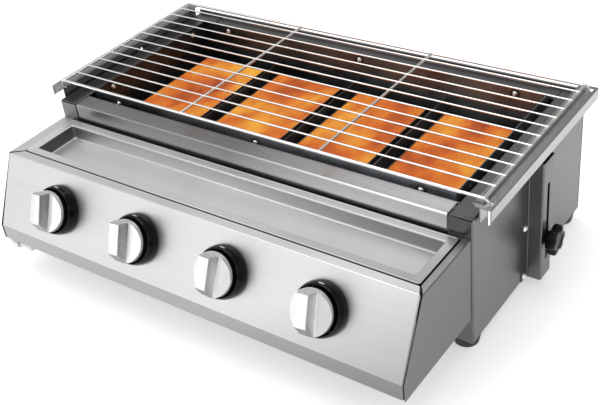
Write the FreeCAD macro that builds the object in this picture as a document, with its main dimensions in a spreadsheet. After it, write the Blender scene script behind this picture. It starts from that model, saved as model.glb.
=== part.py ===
"""Table-top gas grill with four infrared burners, as a parametric FreeCAD document.

Frame: millimetres, +X to the grill's right, +Y to its back, +Z up. The origin lies on the
surface that the grill stands on, under the middle of its bounding box.
"""

import FreeCAD, Part

import os
import re

import Sketcher

from FreeCAD import Placement, Rotation, Vector

SIZES = {
    # Body: the stainless box that holds the burners.
    "body_width": 650,
    "body_depth": 317,
    "body_height": 182,
    "body_front": -66,  # Y of the body's front plane
    "foot_height": 14,
    "sheet": 1,
    "seam": 0.2,  # gap left between two sheets that lie side by side
    "flange": 29,  # inward folds at the top, front and back of a side panel
    "foot_flange": 30,
    "corner_tab": 47,
    "hem": 6,  # how far the back panel's hem stands above the body's top
    "return_leg": 12,
    "crease": 0.6,  # open line where two folds of one sheet meet
    "drill_length": 10,
    "drill_lead": 5,  # how far before a sheet a drill or cutter starts
    "leg_inset": 8,
    # Front top rail.
    "rail_gap": 2.3,
    "rail_depth": 28,
    "rail_underside": 159,
    # Firebox: the inner box, above the body's underside.
    "box_half": 288,
    "box_front": 34,
    "box_back": 284,
    "box_top": 188,
    "bolt_level": 178,
    "bolt_spread": 242,
    "side_bolt_front": 68,
    # Burners.
    "burner_pitch": 140,
    "burner_width": 112,
    "burner_front": 62,
    "burner_back": 256,
    "burner_low": 66,
    "burner_high": 143,
    "burner_wall": 1.2,
    "ledge_drop": 13,
    "ledge": 3,
    "tile_thick": 12.7,
    "tile_play": 0.3,
    "tube_level": 84,
    "tube_radius": 14,
    "tube_mouth": -52,
    "tube_overrun": 20,
    "support_leg": 14,
    "support_inset": 25,
    "divider_low": 100,
    "divider_high": 150,
    # Control housing in front of the body.
    "housing_half": 323.7,
    "housing_top": 156.5,
    "housing_low": 40.7,
    "strip_height": 22.9,
    "top_reach": 109.5,
    "full_reach": 154.5,
    "low_return": 18,
    # Lift-out tray in the housing's top.
    "tray_half": 308,
    "tray_front": 95,
    "tray_back": 5,
    "tray_rim": 14,
    "tray_side_rim": 8,
    "tray_depth": 19,
    "tray_shift": 5,  # the loose tray sits this far to the right
    "opening_half": 300,
    "opening_play": 2,
    # Knobs, along the normal of the sloping face.
    "knob_pitch": 140,
    "knob_shift": -2,  # the knobs sit this far from the burners' middles
    "bezel_radius": 33.3,
    "bezel_nose": 30,
    "bezel_bore": 28.7,
    "bezel_height": 15.5,
    "bezel_straight": 4,
    "bezel_shoulder": 9,
    "bezel_floor": 2,
    "edge_break": 0.8,
    "skirt_radius": 26.8,
    "skirt_back": 6.5,
    "skirt_wall": 2,
    "skirt_floor": 3,
    "hub_wall": 5,
    "stem_depth": 3.9,
    "cap_back": 20.2,
    "cap_front": 24.5,
    "cap_radius": 27.6,
    "grip_height": 45,
    "grip_base": 22,
    "grip_top": 15,
    "grip_upper_taper": 1.6,
    "grip_lower_taper": 13,
    "stem_radius": 4,
    "stem_play": 0.05,
    "stem_front": 12.5,
    "stem_back": 22,
    "panel_hole": 6,
    # Valves, manifold and inlet.
    "valve_radius": 11,
    "valve_front": 6,
    "valve_back": 52,
    "manifold_drop": 38.6,
    "manifold_set": 21,
    "manifold_radius": 8,
    "manifold_bore": 6.5,
    "manifold_half": 300,
    "manifold_short": 30,  # how much shorter the pipe is on the right
    "manifold_end": 3,
    "seat_reach": 30,
    "leg_radius": 6.5,
    "jet_radius": 4.5,
    "jet_length": 24,
    "inlet_level": 12,
    "inlet_radius": 5,
    "inlet_column": 306,
    "inlet_nut": 330,
    "inlet_end": 347,
    "elbow_stub": 6,
    "nut_wall": 2.5,
    "nut_length": 9,
    "spigot_set": 4,
    # Hat-section brackets on the sides.
    "hat_centre": 161.5,
    "hat_half": 15,
    "hat_flange": 15,
    "hat_stand": 20,
    "hat_sheet": 1.2,
    "hat_height": 176,
    "slot_low": 26,
    "slot_high": 142,
    "slot_half": 3.3,
    "screw_low": 5.6,
    "screw_step": 75.6,
    "screw_inset": 7.5,
    # Height-adjustable rails.
    "lip_drop": 15,
    "rail_top": 197.7,
    "rail_front": 7,
    "rail_back": 309,
    "rail_inner": 320,
    "plate_offset": 2.5,
    "plate_low": 183,
    "plate_inset": 5,
    "tab_half": 12,
    "tab_low": 42,
    "stud_level": 59,
    "stud_radius": 3,
    "shoulder_radius": 5,
    "stud_reach": 13,
    "leg_slot_inner": 333.3,
    "leg_slot_outer": 341.3,
    "leg_slot_half": 4,
    # Star knobs.
    "star_radius": 15.5,
    "star_height": 13.2,
    "lobe_radius": 5.5,
    "lobe_circle": 14.5,
    "hub_radius": 9,
    "hub_height": 4,
    "lobe_drop": 4,
    "star_play": 0.3,
    # Wire grate.
    "grate_level": 202.6,
    "grate_front": 19.2,
    "grate_back": 299.6,
    "grate_half": 329.7,
    "leg_spot": 335.5,
    "leg_low": 168,
    "frame_wire": 2,
    "side_wire": 1.9,
    "thin_wire": 1.25,
    "wire_overhang": 3,
    "weld": 0.6,
    "cross_wire_spot": 110,
    # Screws and feet.
    "head_ball": 5.2,
    "shank_radius": 2,
    "shank_length": 5,
    "long_shank": 12,
    "head_overlap": 0.5,
    "drill_radius": 2.05,
    "foot_top_radius": 18,
    "foot_low_radius": 15.5,
    "foot_inset": 18,
    "foot_bore": 2.3,
    "foot_counterbore": 6,
    "foot_seat": 7,
    "foot_thread": 3,
}

FRONT = "body_front"
BACK = "(body_front + body_depth)"
UNDER = "foot_height"
TOP = "(foot_height + body_height)"
HALF = "body_width / 2"
SIDES = {"left": -1, "right": 1}
BURNERS = 4
THIN_WIRES = 11
STAR_LOBES = 6
HEAD_LATITUDE = 30  # a screw head is the part of a ball above this latitude

AIM = {
    "+X": Rotation(Vector(0, 1, 0), 90),
    "-X": Rotation(Vector(0, 1, 0), -90),
    "+Y": Rotation(Vector(1, 0, 0), -90),
    "-Y": Rotation(Vector(1, 0, 0), 90),
    "+Z": Rotation(),
    "-Z": Rotation(Vector(1, 0, 0), 180),
}

doc = FreeCAD.newDocument("gas_grill")
nodes = []


# ---------------------------------------------------------------- sheet and expressions

def make_sheet():
    """Write every driving dimension to the sheet as a plain number with an alias."""
    sheet = doc.addObject("Spreadsheet::Sheet", "Sizes")
    for row, (alias, value) in enumerate(SIZES.items(), start=1):
        sheet.set(f"A{row}", alias.replace("_", " "))
        sheet.set(f"B{row}", str(value))
        sheet.setAlias(f"B{row}", alias)
    doc.recompute()


def bound(text):
    """Turn an expression on alias words into one on the sheet's cells."""
    return re.sub(r"[a-z_]+", lambda word: ("Sizes." if word[0] in SIZES else "") + word[0], str(text))


def bind(thing, **expressions):
    for prop, text in expressions.items():
        thing.setExpression(prop.replace("__", "."), bound(text))
    return thing


def put(thing, x="0", y="0", z="0", aim="+Z"):
    """Give an object its orientation and bind its position to the sheet."""
    thing.Placement = Placement(Vector(), AIM[aim])
    return bind(thing, Placement__Base__x=x, Placement__Base__y=y, Placement__Base__z=z)


def node(label, thing):
    """Register an object as a sub-part under its node name."""
    thing.Label = label
    nodes.append(thing)
    return thing


# ---------------------------------------------------------------- building blocks

def box(x, y, z):
    """Box between (low, high) expressions on each axis."""
    block = put(doc.addObject("Part::Box", "Block"), x[0], y[0], z[0])
    return bind(
        block,
        Length=f"({x[1]}) - ({x[0]})",
        Width=f"({y[1]}) - ({y[0]})",
        Height=f"({z[1]}) - ({z[0]})",
    )


def rod(radius, length, x="0", y="0", z="0", aim="+Z"):
    cylinder = put(doc.addObject("Part::Cylinder", "Rod"), x, y, z, aim)
    return bind(cylinder, Radius=radius, Height=length)


def ball(radius, x="0", y="0", z="0"):
    sphere = put(doc.addObject("Part::Sphere", "Ball"), x, y, z)
    return bind(sphere, Radius=radius)


def fuse(*parts):
    joined = doc.addObject("Part::MultiFuse", "Joined")
    joined.Shapes = list(parts)
    joined.Refine = True
    return joined


def cut(base, *tools):
    carved = doc.addObject("Part::Cut", "Carved")
    carved.Base = base
    carved.Tool = fuse(*tools) if len(tools) > 1 else tools[0]
    carved.Refine = True
    return carved


def group(*parts):
    """Several separate solids that share one node."""
    together = doc.addObject("Part::Compound", "Group")
    together.Links = list(parts)
    return together


def across(side, inner, outer):
    """X range between two distances from the centre plane, on one side."""
    if SIDES[side] > 0:
        return (inner, outer)
    return (f"-({outer})", f"-({inner})")


def out_from(side, distance):
    return f"{SIDES[side]} * ({distance})"


def outline_sketch(body, plane_role, points):
    """Closed polygon whose corners are bound to pairs of expressions."""
    sketch = body.newObject("Sketcher::SketchObject", "Outline")
    plane = next(f for f in body.Origin.OriginFeatures if f.Role == plane_role)
    sketch.AttachmentSupport = [(plane, "")]
    sketch.MapMode = "FlatFace"
    spots = [Vector(value(first), value(second), 0) for first, second in points]
    count = len(points)
    for index in range(count):
        sketch.addGeometry(Part.LineSegment(spots[index], spots[(index + 1) % count]), False)
    for index in range(count):
        sketch.addConstraint(Sketcher.Constraint("Coincident", index, 2, (index + 1) % count, 1))
    for index, pair in enumerate(points):
        for kind, text in zip(("DistanceX", "DistanceY"), pair):
            place = sketch.addConstraint(Sketcher.Constraint(kind, -1, 1, index, 1, value(text)))
            sketch.setExpression(f"Constraints[{place}]", bound(text))
    return sketch


def value(text):
    """Number that an expression gives, used as a sketch's starting point."""
    number = doc.Sizes.evalExpression(bound(text).replace("Sizes.", ""))
    return float(getattr(number, "Value", number))


def padded(points, length, plane_role="YZ_Plane", symmetric=True):
    """Sheet or plate: a polygon pushed out along its plane's normal."""
    body = doc.addObject("PartDesign::Body", "Folded")
    sketch = outline_sketch(body, plane_role, points)
    pad = body.newObject("PartDesign::Pad", "Pad")
    pad.Profile = sketch
    if symmetric:
        pad.SideType = "Symmetric"
    bind(pad, Length=length)
    return body


def revolved(points):
    """Round piece about Z: its outline is given as (radius, height) pairs."""
    body = doc.addObject("PartDesign::Body", "Turned")
    sketch = outline_sketch(body, "XZ_Plane", points)
    spin = body.newObject("PartDesign::Revolution", "Revolution")
    spin.Profile = sketch
    spin.ReferenceAxis = (sketch, ["V_Axis"])
    spin.Angle = 360
    return body


def turned_rod(radius, low, high):
    """Rod about Z between two heights, free to be placed anywhere."""
    return revolved([("0", low), (radius, low), (radius, high), ("0", high)])


# ---------------------------------------------------------------- fasteners

def screw(x, y, z, aim, length="shank_length"):
    """Round-head screw: the head's seat is at the given point, the head faces the aim."""
    head = put(doc.addObject("Part::Sphere", "Head"), z=f"-head_ball * sin({HEAD_LATITUDE} deg)")
    head.Angle1 = HEAD_LATITUDE
    bind(head, Radius="head_ball")
    shank = rod("shank_radius", f"{length} + head_overlap", z=f"-({length})")
    return put(fuse(head, shank), x, y, z, aim)


def bracket_screw_spots():
    """(Y, Z) of the six screws of one hat bracket."""
    spots = []
    for sign in (-1, 1):
        for step in range(3):
            along = f"body_front + hat_centre + {sign} * (hat_half + screw_inset)"
            spots.append((along, f"foot_height + screw_low + {step} * screw_step"))
    return spots


def firebox_bolt_spots(wall):
    """Spots of one firebox wall's bolts along the wall."""
    if wall in ("front", "back"):
        return ["-bolt_spread", "0", "bolt_spread"]
    return ["body_front + side_bolt_front", "body_front + body_depth - side_bolt_front"]


def foot_spots():
    """(X, Y) of the four feet."""
    return [
        (out_from(side, "body_width / 2 - foot_inset"), along)
        for side in SIDES
        for along in ("body_front + foot_inset", "body_front + body_depth - foot_inset")
    ]


def foot_drills():
    return [rod("foot_bore", "drill_length", x, y, "foot_height - drill_lead") for x, y in foot_spots()]


# ---------------------------------------------------------------- body

def side_panel(side):
    depth = (FRONT, f"{BACK} - sheet - seam")
    shelf_depth = (FRONT, f"{BACK} - 3 * sheet - 2 * seam")
    inner_edge = f"{HALF} - flange"
    sheets = [
        box(across(side, f"{HALF} - sheet", HALF), depth, (UNDER, TOP)),
        box(across(side, inner_edge, HALF), shelf_depth, (f"{TOP} - sheet", TOP)),
        box(
            across(side, f"{HALF} - corner_tab", HALF),
            (f"{BACK} - flange", shelf_depth[1]),
            (f"{TOP} - sheet", TOP),
        ),
        box(
            across(side, inner_edge, f"{inner_edge} + sheet"),
            ("body_front + box_front + leg_inset", "body_front + box_back - leg_inset"),
            (f"{TOP} - return_leg", TOP),
        ),
        box(
            across(side, inner_edge, HALF),
            (FRONT, "body_front + sheet"),
            (UNDER, f"{TOP} - sheet - crease"),
        ),
        box(
            across(side, inner_edge, HALF),
            (f"{BACK} - 2 * sheet - seam", depth[1]),
            (UNDER, f"{TOP} - sheet - 2 * crease"),
        ),
        box(across(side, f"{HALF} - foot_flange", HALF), depth, (UNDER, "foot_height + sheet")),
    ]
    outward = "+X" if side == "right" else "-X"
    start = out_from(side, f"{HALF} - drill_lead")
    drills = [rod("drill_radius", "drill_length", start, y, z, outward) for y, z in bracket_screw_spots()]
    leg_start = out_from(side, f"{inner_edge} - drill_lead")
    drills += [rod("drill_radius", "drill_length", leg_start, y, "foot_height + bolt_level", outward)
               for y in firebox_bolt_spots(side)]
    node(f"side_panel_{side}", cut(fuse(*sheets), *drills, *foot_drills()))


def back_panel():
    """Back wall with a raised hem along its top and a shelf folded inwards."""
    wide = (f"-({HALF} - seam)", f"{HALF} - seam")
    narrow = (f"-({HALF} - sheet - seam)", f"{HALF} - sheet - seam")
    leaf = (f"{BACK} - 3 * sheet", f"{BACK} - 2 * sheet")
    shelf_top = f"{TOP} - sheet - seam"
    level = "foot_height + bolt_level"
    drills = [rod("drill_radius", "drill_length", x, "body_front + box_back", level, "+Y")
              for x in firebox_bolt_spots("back")]
    sheets = fuse(
        box(wide, (f"{BACK} - sheet", BACK), ("foot_height + seam", f"{TOP} + hem")),
        box(narrow, (leaf[0], BACK), (f"{TOP} + hem - sheet", f"{TOP} + hem")),
        box(narrow, leaf, (f"{shelf_top} - sheet", f"{TOP} + hem")),
        box(narrow, (f"{BACK} - flange", leaf[1]), (f"{shelf_top} - sheet", shelf_top)),
        box(
            narrow,
            (f"{BACK} - flange", f"{BACK} - flange + sheet"),
            (f"{TOP} - return_leg", shelf_top),
        ),
    )
    node("back_panel", cut(sheets, *drills))


def base_plate():
    """Floor of the body: a shallow pan that lies on the side panels' foot flanges."""
    inside = f"{HALF} - sheet - seam"
    wide = (f"-({inside})", inside)
    front = "body_front + sheet + seam"
    back = f"{BACK} - 2 * sheet - 2 * seam"
    low = "foot_height + sheet"
    sheets = fuse(
        box(wide, (front, back), (low, f"{low} + sheet")),
        box(wide, (front, f"{front} + sheet"), (low, f"{low} + return_leg")),
        box(wide, (f"{back} - sheet", back), (low, f"{low} + return_leg")),
    )
    node("base_plate", cut(sheets, *foot_drills()))


def front_top_rail():
    """Channel between the side panels' flanges, above the housing."""
    half = f"({HALF} - flange - rail_gap)"
    wide = (f"-{half}", half)
    anchor = f"{HALF} - sheet - seam"
    sheets = fuse(
        box(wide, (FRONT, "body_front + sheet"), ("foot_height + rail_underside", TOP)),
        box(wide, (FRONT, "body_front + rail_depth"), (f"{TOP} - sheet", TOP)),
        box(
            wide,
            ("body_front + rail_depth - sheet", "body_front + rail_depth"),
            (f"{TOP} - return_leg", TOP),
        ),
        box(
            (f"-({anchor})", anchor),
            ("body_front + rail_depth - sheet", "body_front + rail_depth"),
            (f"{TOP} - return_leg", f"{TOP} - sheet - seam"),
        ),
    )
    node("front_top_rail", sheets)


# ---------------------------------------------------------------- firebox

def firebox_floor():
    return "foot_height + 2 * sheet"


def firebox_cross_wall(wall, near):
    """Front or back wall; the front wall has a round opening for each burner tube."""
    wide = ("-box_half", "box_half")
    depth = (near, f"{near} + sheet")
    sheet = box(wide, depth, (firebox_floor(), "foot_height + box_top"))
    start = f"{near} - drill_lead"
    tools = [rod("drill_radius", "drill_length", x, start, "foot_height + bolt_level", "+Y")
             for x in firebox_bolt_spots(wall)]
    if wall == "front":
        tools += [rod("tube_radius + 1", "drill_length", burner_spot(number), f"{near} - drill_lead",
                      "foot_height + tube_level", "+Y") for number in range(BURNERS)]
    node(f"firebox_{wall}_wall", cut(sheet, *tools))


def firebox_side_wall(side):
    near = "body_front + box_front + sheet + seam"
    far = "body_front + box_back - seam"
    sheet = box(
        across(side, "box_half - sheet", "box_half"),
        (near, far),
        (firebox_floor(), "foot_height + box_top"),
    )
    drills = [rod("drill_radius", "drill_length", out_from(side, "box_half - drill_lead"), y,
                  "foot_height + bolt_level", "+X" if side == "right" else "-X")
              for y in firebox_bolt_spots(side)]
    node(f"firebox_{side}_wall", cut(sheet, *drills))


def firebox_bolts():
    level = "foot_height + bolt_level"
    bolts = [screw(x, "body_front + box_front", level, "-Y") for x in firebox_bolt_spots("front")]
    bolts += [screw(x, "body_front + box_back", level, "-Y") for x in firebox_bolt_spots("back")]
    for side in SIDES:
        facing = "-X" if side == "right" else "+X"
        bolts += [screw(out_from(side, "box_half - sheet"), y, level, facing, "long_shank")
                  for y in firebox_bolt_spots(side)]
    node("firebox_bolts", group(*bolts))


# ---------------------------------------------------------------- burners

def burner_spot(number):
    """X of a burner's middle, counted from the left."""
    return f"({number} - {(BURNERS - 1) / 2}) * burner_pitch"


def burner_box(number):
    """Plenum with an open top, a ledge for the tiles and a venturi tube to the front."""
    middle = burner_spot(number)
    half = "burner_width / 2"

    def hollow(inset, low, high):
        return box(
            (f"{middle} - {half} + ({inset})", f"{middle} + {half} - ({inset})"),
            (f"body_front + burner_front + ({inset})", f"body_front + burner_back - ({inset})"),
            (f"foot_height + {low}", f"foot_height + {high}"),
        )

    ledge_level = "burner_high - ledge_drop"
    tube_length = "burner_front - tube_mouth"
    tube = ("body_front + tube_mouth", "foot_height + tube_level")
    shell = fuse(
        hollow("0", "burner_low", "burner_high"),
        rod("tube_radius", f"{tube_length} + burner_wall / 2", middle, *tube, "+Y"),
    )
    carved = cut(
        shell,
        hollow("burner_wall", ledge_level, "burner_high + 1"),
        hollow("burner_wall + ledge", "burner_low + burner_wall", f"{ledge_level} + 1"),
        rod("tube_radius - burner_wall", f"{tube_length} + tube_overrun", middle, *tube, "+Y"),
    )
    node(f"burner_box_{number + 1}", carved)


def ceramic_tiles(number):
    """Two ceramic tiles end to end on the ledge of one burner box."""
    middle = burner_spot(number)
    half = "(burner_width / 2 - burner_wall - tile_play)"
    near = "(body_front + burner_front + burner_wall + tile_play)"
    far = "(body_front + burner_back - burner_wall - tile_play)"
    mid = f"(({near} + {far}) / 2)"
    low = "foot_height + burner_high - ledge_drop"
    tiles = [
        box((f"{middle} - {half}", f"{middle} + {half}"), depth, (low, f"{low} + tile_thick"))
        for depth in ((near, f"{mid} - tile_play"), (f"{mid} + tile_play", far))
    ]
    node(f"ceramic_tiles_{number + 1}", group(*tiles))


def burner_dividers():
    """Upright sheets between neighbouring burners."""
    near = "body_front + box_front + sheet + seam"
    far = "body_front + box_back - seam"
    sheets = []
    for gap in range(1, BURNERS):
        middle = f"({gap} - {BURNERS / 2}) * burner_pitch"
        sheets.append(box(
            (f"{middle} - sheet / 2", f"{middle} + sheet / 2"),
            (near, far),
            ("foot_height + divider_low", "foot_height + divider_high"),
        ))
    node("burner_dividers", group(*sheets))


def burner_supports():
    """Two angle bars across the firebox that carry the burner boxes."""
    half = "(box_half - sheet - seam)"
    top = "foot_height + burner_low"
    bars = []
    front = "body_front + burner_front + support_inset"
    back = "body_front + burner_back - support_inset - support_leg"
    for near in (front, back):
        bars.append(fuse(
            box((f"-{half}", half), (near, f"{near} + support_leg"), (f"{top} - sheet", top)),
            box((f"-{half}", half), (near, f"{near} + sheet"), (f"{top} - support_leg", top)),
        ))
    node("burner_supports", group(*bars))


# ---------------------------------------------------------------- control housing

RISE = "(housing_top - housing_low - strip_height)"
RUN = "(full_reach - top_reach)"
FACE_LENGTH = f"sqrt({RISE} ^ 2 + {RUN} ^ 2)"
FACE_Y = "(body_front - (top_reach + full_reach) / 2)"
FACE_Z = "(foot_height + (housing_top + housing_low + strip_height) / 2)"


def on_face(thing, number):
    """Stand a piece built along +Z on the sloping face, at one knob's place."""
    thing.Placement = Placement(Vector(), Rotation(Vector(1, 0, 0), 1))
    return bind(
        thing,
        Placement__Base__x=f"({number} - {(BURNERS - 1) / 2}) * knob_pitch + knob_shift",
        Placement__Base__y=FACE_Y,
        Placement__Base__z=FACE_Z,
        Placement__Rotation__Angle=f"atan({RISE} / {RUN})",
    )


def control_panel():
    """Sloping face, upright strip below it and a return fold at the bottom."""
    edge = "body_front - full_reach"
    knee = "foot_height + housing_low + strip_height"
    bottom = "foot_height + housing_low"
    top = "foot_height + housing_top - sheet - seam / 2"
    lean = f"({RUN} / {RISE})"
    top_y = f"body_front - top_reach - (sheet + seam / 2) * {lean}"
    outline = [
        (top_y, top),
        (edge, knee),
        (edge, bottom),
        (f"{edge} + low_return", bottom),
        (f"{edge} + low_return", f"{bottom} + sheet"),
        (f"{edge} + sheet", f"{bottom} + sheet"),
        (f"{edge} + sheet", f"{knee} - sheet * tan(atan({lean}) / 2)"),
        (f"{top_y} + sheet * {FACE_LENGTH} / {RISE}", top),
    ]
    panel = padded(outline, "2 * (housing_half - sheet - seam / 2)")
    holes = [on_face(turned_rod("panel_hole", "-10", "drill_length"), number) for number in range(BURNERS)]
    node("control_panel", cut(panel, *holes))


def housing_side(side):
    rear = "body_front - seam"
    outline = [
        (rear, "foot_height + housing_low"),
        (rear, "foot_height + housing_top"),
        ("body_front - top_reach", "foot_height + housing_top"),
        ("body_front - full_reach", "foot_height + housing_low + strip_height"),
        ("body_front - full_reach", "foot_height + housing_low"),
    ]
    plate = padded(outline, "sheet", symmetric=False)
    low_x = "housing_half - sheet" if side == "right" else "-housing_half"
    node(f"housing_side_{side}", put(plate, low_x))


def housing_top_frame():
    """Flat frame around the tray with a fold down at its back."""
    half = "(housing_half - sheet - seam / 2)"
    top = "foot_height + housing_top"
    rear = "body_front - seam"
    frame = cut(
        box((f"-{half}", half), ("body_front - top_reach", rear), (f"{top} - sheet", top)),
        box(
            ("-opening_half", "opening_half"),
            (
                "body_front - tray_front + tray_side_rim - 2 * opening_play",
                "body_front - tray_back - tray_side_rim + 2 * opening_play",
            ),
            (f"{top} - drill_lead", f"{top} + drill_lead"),
        ),
    )
    fold = box((f"-{half}", half), (f"{rear} - sheet", rear), (f"{top} - return_leg", top))
    node("housing_top_frame", fuse(frame, fold))


def front_tray():
    """Pressed pan that hangs in the top frame by its flat rim."""
    left = "tray_shift - tray_half"
    right = "tray_shift + tray_half"
    near = "body_front - tray_front"
    far = "body_front - tray_back"
    low = "foot_height + housing_top + seam / 2"
    top = f"{low} + 1.5 * sheet"
    rim = box((left, right), (near, far), (low, top))
    pan = box(
        (f"{left} + tray_rim", f"{right} - tray_rim"),
        (f"{near} + tray_side_rim", f"{far} - tray_side_rim"),
        (f"{top} - tray_depth", top),
    )
    pocket = box(
        (f"{left} + tray_rim + sheet", f"{right} - tray_rim - sheet"),
        (f"{near} + tray_side_rim + sheet", f"{far} - tray_side_rim - sheet"),
        (f"{top} - tray_depth + sheet", f"{top} + drill_lead"),
    )
    node("front_tray", cut(fuse(rim, pan), pocket))


# ---------------------------------------------------------------- knobs, valves, gas

def knob_bezel(number):
    """Black ring that screens the gap round the knob's skirt."""
    outline = [
        ("panel_hole", "0"),
        ("bezel_radius", "0"),
        ("bezel_radius", "bezel_straight"),
        ("bezel_radius - edge_break", "bezel_shoulder"),
        ("bezel_nose + 1", "bezel_height - 1.5"),
        ("bezel_nose", "bezel_height"),
        ("bezel_bore", "bezel_height"),
        ("bezel_bore", "bezel_floor"),
        ("panel_hole", "bezel_floor"),
    ]
    node(f"knob_bezel_{number + 1}", on_face(revolved(outline), number))


def knob_skirt(number):
    """Black cup behind the cap with a hub bored for the stem."""
    outline = [
        ("stem_radius + stem_play", "skirt_back"),
        ("stem_radius + hub_wall", "skirt_back"),
        ("stem_radius + hub_wall", "cap_back - skirt_floor"),
        ("skirt_radius - skirt_wall", "cap_back - skirt_floor"),
        ("skirt_radius - skirt_wall", "skirt_back"),
        ("skirt_radius", "skirt_back"),
        ("skirt_radius", "cap_back"),
        ("0", "cap_back"),
        ("0", "cap_back - stem_depth"),
        ("stem_radius + stem_play", "cap_back - stem_depth"),
    ]
    node(f"knob_skirt_{number + 1}", on_face(revolved(outline), number))


def knob_cap(number):
    """Silver disc with a bar grip across it: steep at its upper end, sloping at its lower one."""
    disc = revolved([
        ("0", "cap_back"),
        ("cap_radius", "cap_back"),
        ("cap_radius", "cap_front - edge_break"),
        ("cap_radius - edge_break", "cap_front"),
        ("0", "cap_front"),
    ])
    wedge = put(doc.addObject("Part::Wedge", "Grip"))
    bind(
        wedge,
        Xmin="-grip_base / 2", Xmax="grip_base / 2",
        Ymin="cap_front - 1", Ymax="grip_height",
        Zmin="-cap_radius", Zmax="cap_radius",
        X2min="-grip_top / 2", X2max="grip_top / 2",
        Z2min="-cap_radius + grip_upper_taper", Z2max="cap_radius - grip_lower_taper",
    )
    wedge.Placement = Placement(Vector(), AIM["-Y"])
    bar = doc.addObject("Part::Common", "Bar")
    bar.Base = wedge
    bar.Tool = rod("cap_radius - edge_break", "grip_height + drill_lead")
    node(f"knob_cap_{number + 1}", on_face(fuse(disc, bar), number))


def valve_stem(number):
    node(f"valve_stem_{number + 1}", on_face(turned_rod("stem_radius", "-stem_back", "stem_front"), number))


def valve_body(number):
    """Tapered plug valve: barrel on the stem's axis and a leg down to the manifold."""
    barrel = rod("valve_radius", "valve_back - valve_front", z="-valve_back")
    leg = rod("leg_radius", "manifold_drop", z="-manifold_set", aim="-Y")
    pipe = rod("manifold_radius", "2 * seat_reach", "-seat_reach", "-manifold_drop", "-manifold_set", "+X")
    bore = rod("stem_radius + stem_play", "stem_back + stem_play", z="-stem_back - stem_play")
    node(f"valve_body_{number + 1}", on_face(cut(fuse(barrel, leg), pipe, bore), number))


def injector_jets():
    """Brass elbows that turn the gas from each valve towards its burner tube."""
    jets = []
    down = "(valve_back + jet_radius + 1)"
    y = f"{FACE_Y} + {down} * {RISE} / {FACE_LENGTH}"
    z = f"{FACE_Z} - {down} * {RUN} / {FACE_LENGTH}"
    for number in range(BURNERS):
        x = f"({number} - {(BURNERS - 1) / 2}) * knob_pitch + knob_shift"
        neck = on_face(turned_rod("jet_radius", f"-{down}", "-valve_back"), number)
        jets.append(fuse(
            neck,
            ball("jet_radius + 1", x, y, z),
            rod("jet_radius", "jet_length", x, y, z, "+Y"),
        ))
    node("injector_jets", group(*jets))


MANIFOLD_Y = f"({FACE_Y} + (manifold_set * {RISE} - manifold_drop * {RUN}) / {FACE_LENGTH})"
MANIFOLD_Z = f"({FACE_Z} - (manifold_set * {RUN} + manifold_drop * {RISE}) / {FACE_LENGTH})"


def gas_manifold():
    """Pipe across the housing that feeds the four valves; its right end is closed."""
    length = "2 * manifold_half - manifold_short"
    start = ("-manifold_half", MANIFOLD_Y, MANIFOLD_Z)
    pipe = rod("manifold_radius", length, *start, "+X")
    bore = rod("manifold_bore", f"{length} - manifold_end", *start, "+X")
    node("gas_manifold", cut(pipe, bore))


def gas_inlet():
    """Elbow at the manifold's left end, a drop pipe and a threaded end out to the left."""
    level = "(foot_height + inlet_level)"
    column = "-inlet_column"
    spigot = "(inlet_nut + spigot_set)"
    nut = put(doc.addObject("Part::Prism", "Nut"), column, MANIFOLD_Y, level, "-X")
    nut.Polygon = 6
    bind(nut, Circumradius="inlet_radius + nut_wall", Height="nut_length",
         Placement__Base__x="-inlet_nut + 1")
    parts = [
        rod("manifold_radius - 2", "elbow_stub", column, MANIFOLD_Y, MANIFOLD_Z, "+X"),
        ball("manifold_radius - 1", column, MANIFOLD_Y, MANIFOLD_Z),
        rod("inlet_radius - 1", f"{MANIFOLD_Z} - {level}", column, MANIFOLD_Y, level),
        ball("inlet_radius", column, MANIFOLD_Y, level),
        rod("inlet_radius - 1", "inlet_nut - inlet_column", column, MANIFOLD_Y, level, "-X"),
        rod("inlet_radius", f"inlet_end - {spigot}", f"-({spigot})", MANIFOLD_Y, level, "-X"),
        nut,
    ]
    node("gas_inlet", fuse(*parts))


# ---------------------------------------------------------------- brackets and rails

def hat_bracket(side):
    """Hat-section upright with a long slot in its outer face."""
    skin = "hat_sheet"
    middle = "(body_front + hat_centre)"
    wall = f"{HALF} + hat_stand"
    tall = (UNDER, "foot_height + hat_height")
    sheets = [box(
        across(side, f"{wall} - {skin}", wall),
        (f"{middle} - hat_half", f"{middle} + hat_half"),
        tall,
    )]
    for sign in (-1, 1):
        inner = f"{middle} + {sign} * (hat_half - {skin})"
        web = sorted((inner, f"{middle} + {sign} * hat_half"), key=value)
        wing = sorted((inner, f"{middle} + {sign} * (hat_half + hat_flange)"), key=value)
        sheets.append(box(across(side, HALF, wall), web, tall))
        sheets.append(box(across(side, HALF, f"{HALF} + {skin}"), wing, tall))
    outward = "+X" if side == "right" else "-X"
    slot = [box(
        across(side, f"{wall} - drill_lead", f"{wall} + drill_lead"),
        (f"{middle} - slot_half", f"{middle} + slot_half"),
        ("foot_height + slot_low + slot_half", "foot_height + slot_high - slot_half"),
    )]
    near = out_from(side, f"{wall} - drill_lead")
    slot += [rod("slot_half", "drill_length", near, middle, f"foot_height + {end}", outward)
             for end in ("slot_low + slot_half", "slot_high - slot_half")]
    drills = [rod("drill_radius", "drill_length", out_from(side, f"{HALF} - drill_lead"), y, z, outward)
              for y, z in bracket_screw_spots()]
    node(f"hat_bracket_{side}", cut(fuse(*sheets), *slot, *drills))


def bracket_screws():
    screws = []
    for side in SIDES:
        facing = "+X" if side == "right" else "-X"
        screws += [screw(out_from(side, f"{HALF} + hat_sheet"), y, z, facing)
                   for y, z in bracket_screw_spots()]
    node("bracket_screws", group(*screws))


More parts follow.
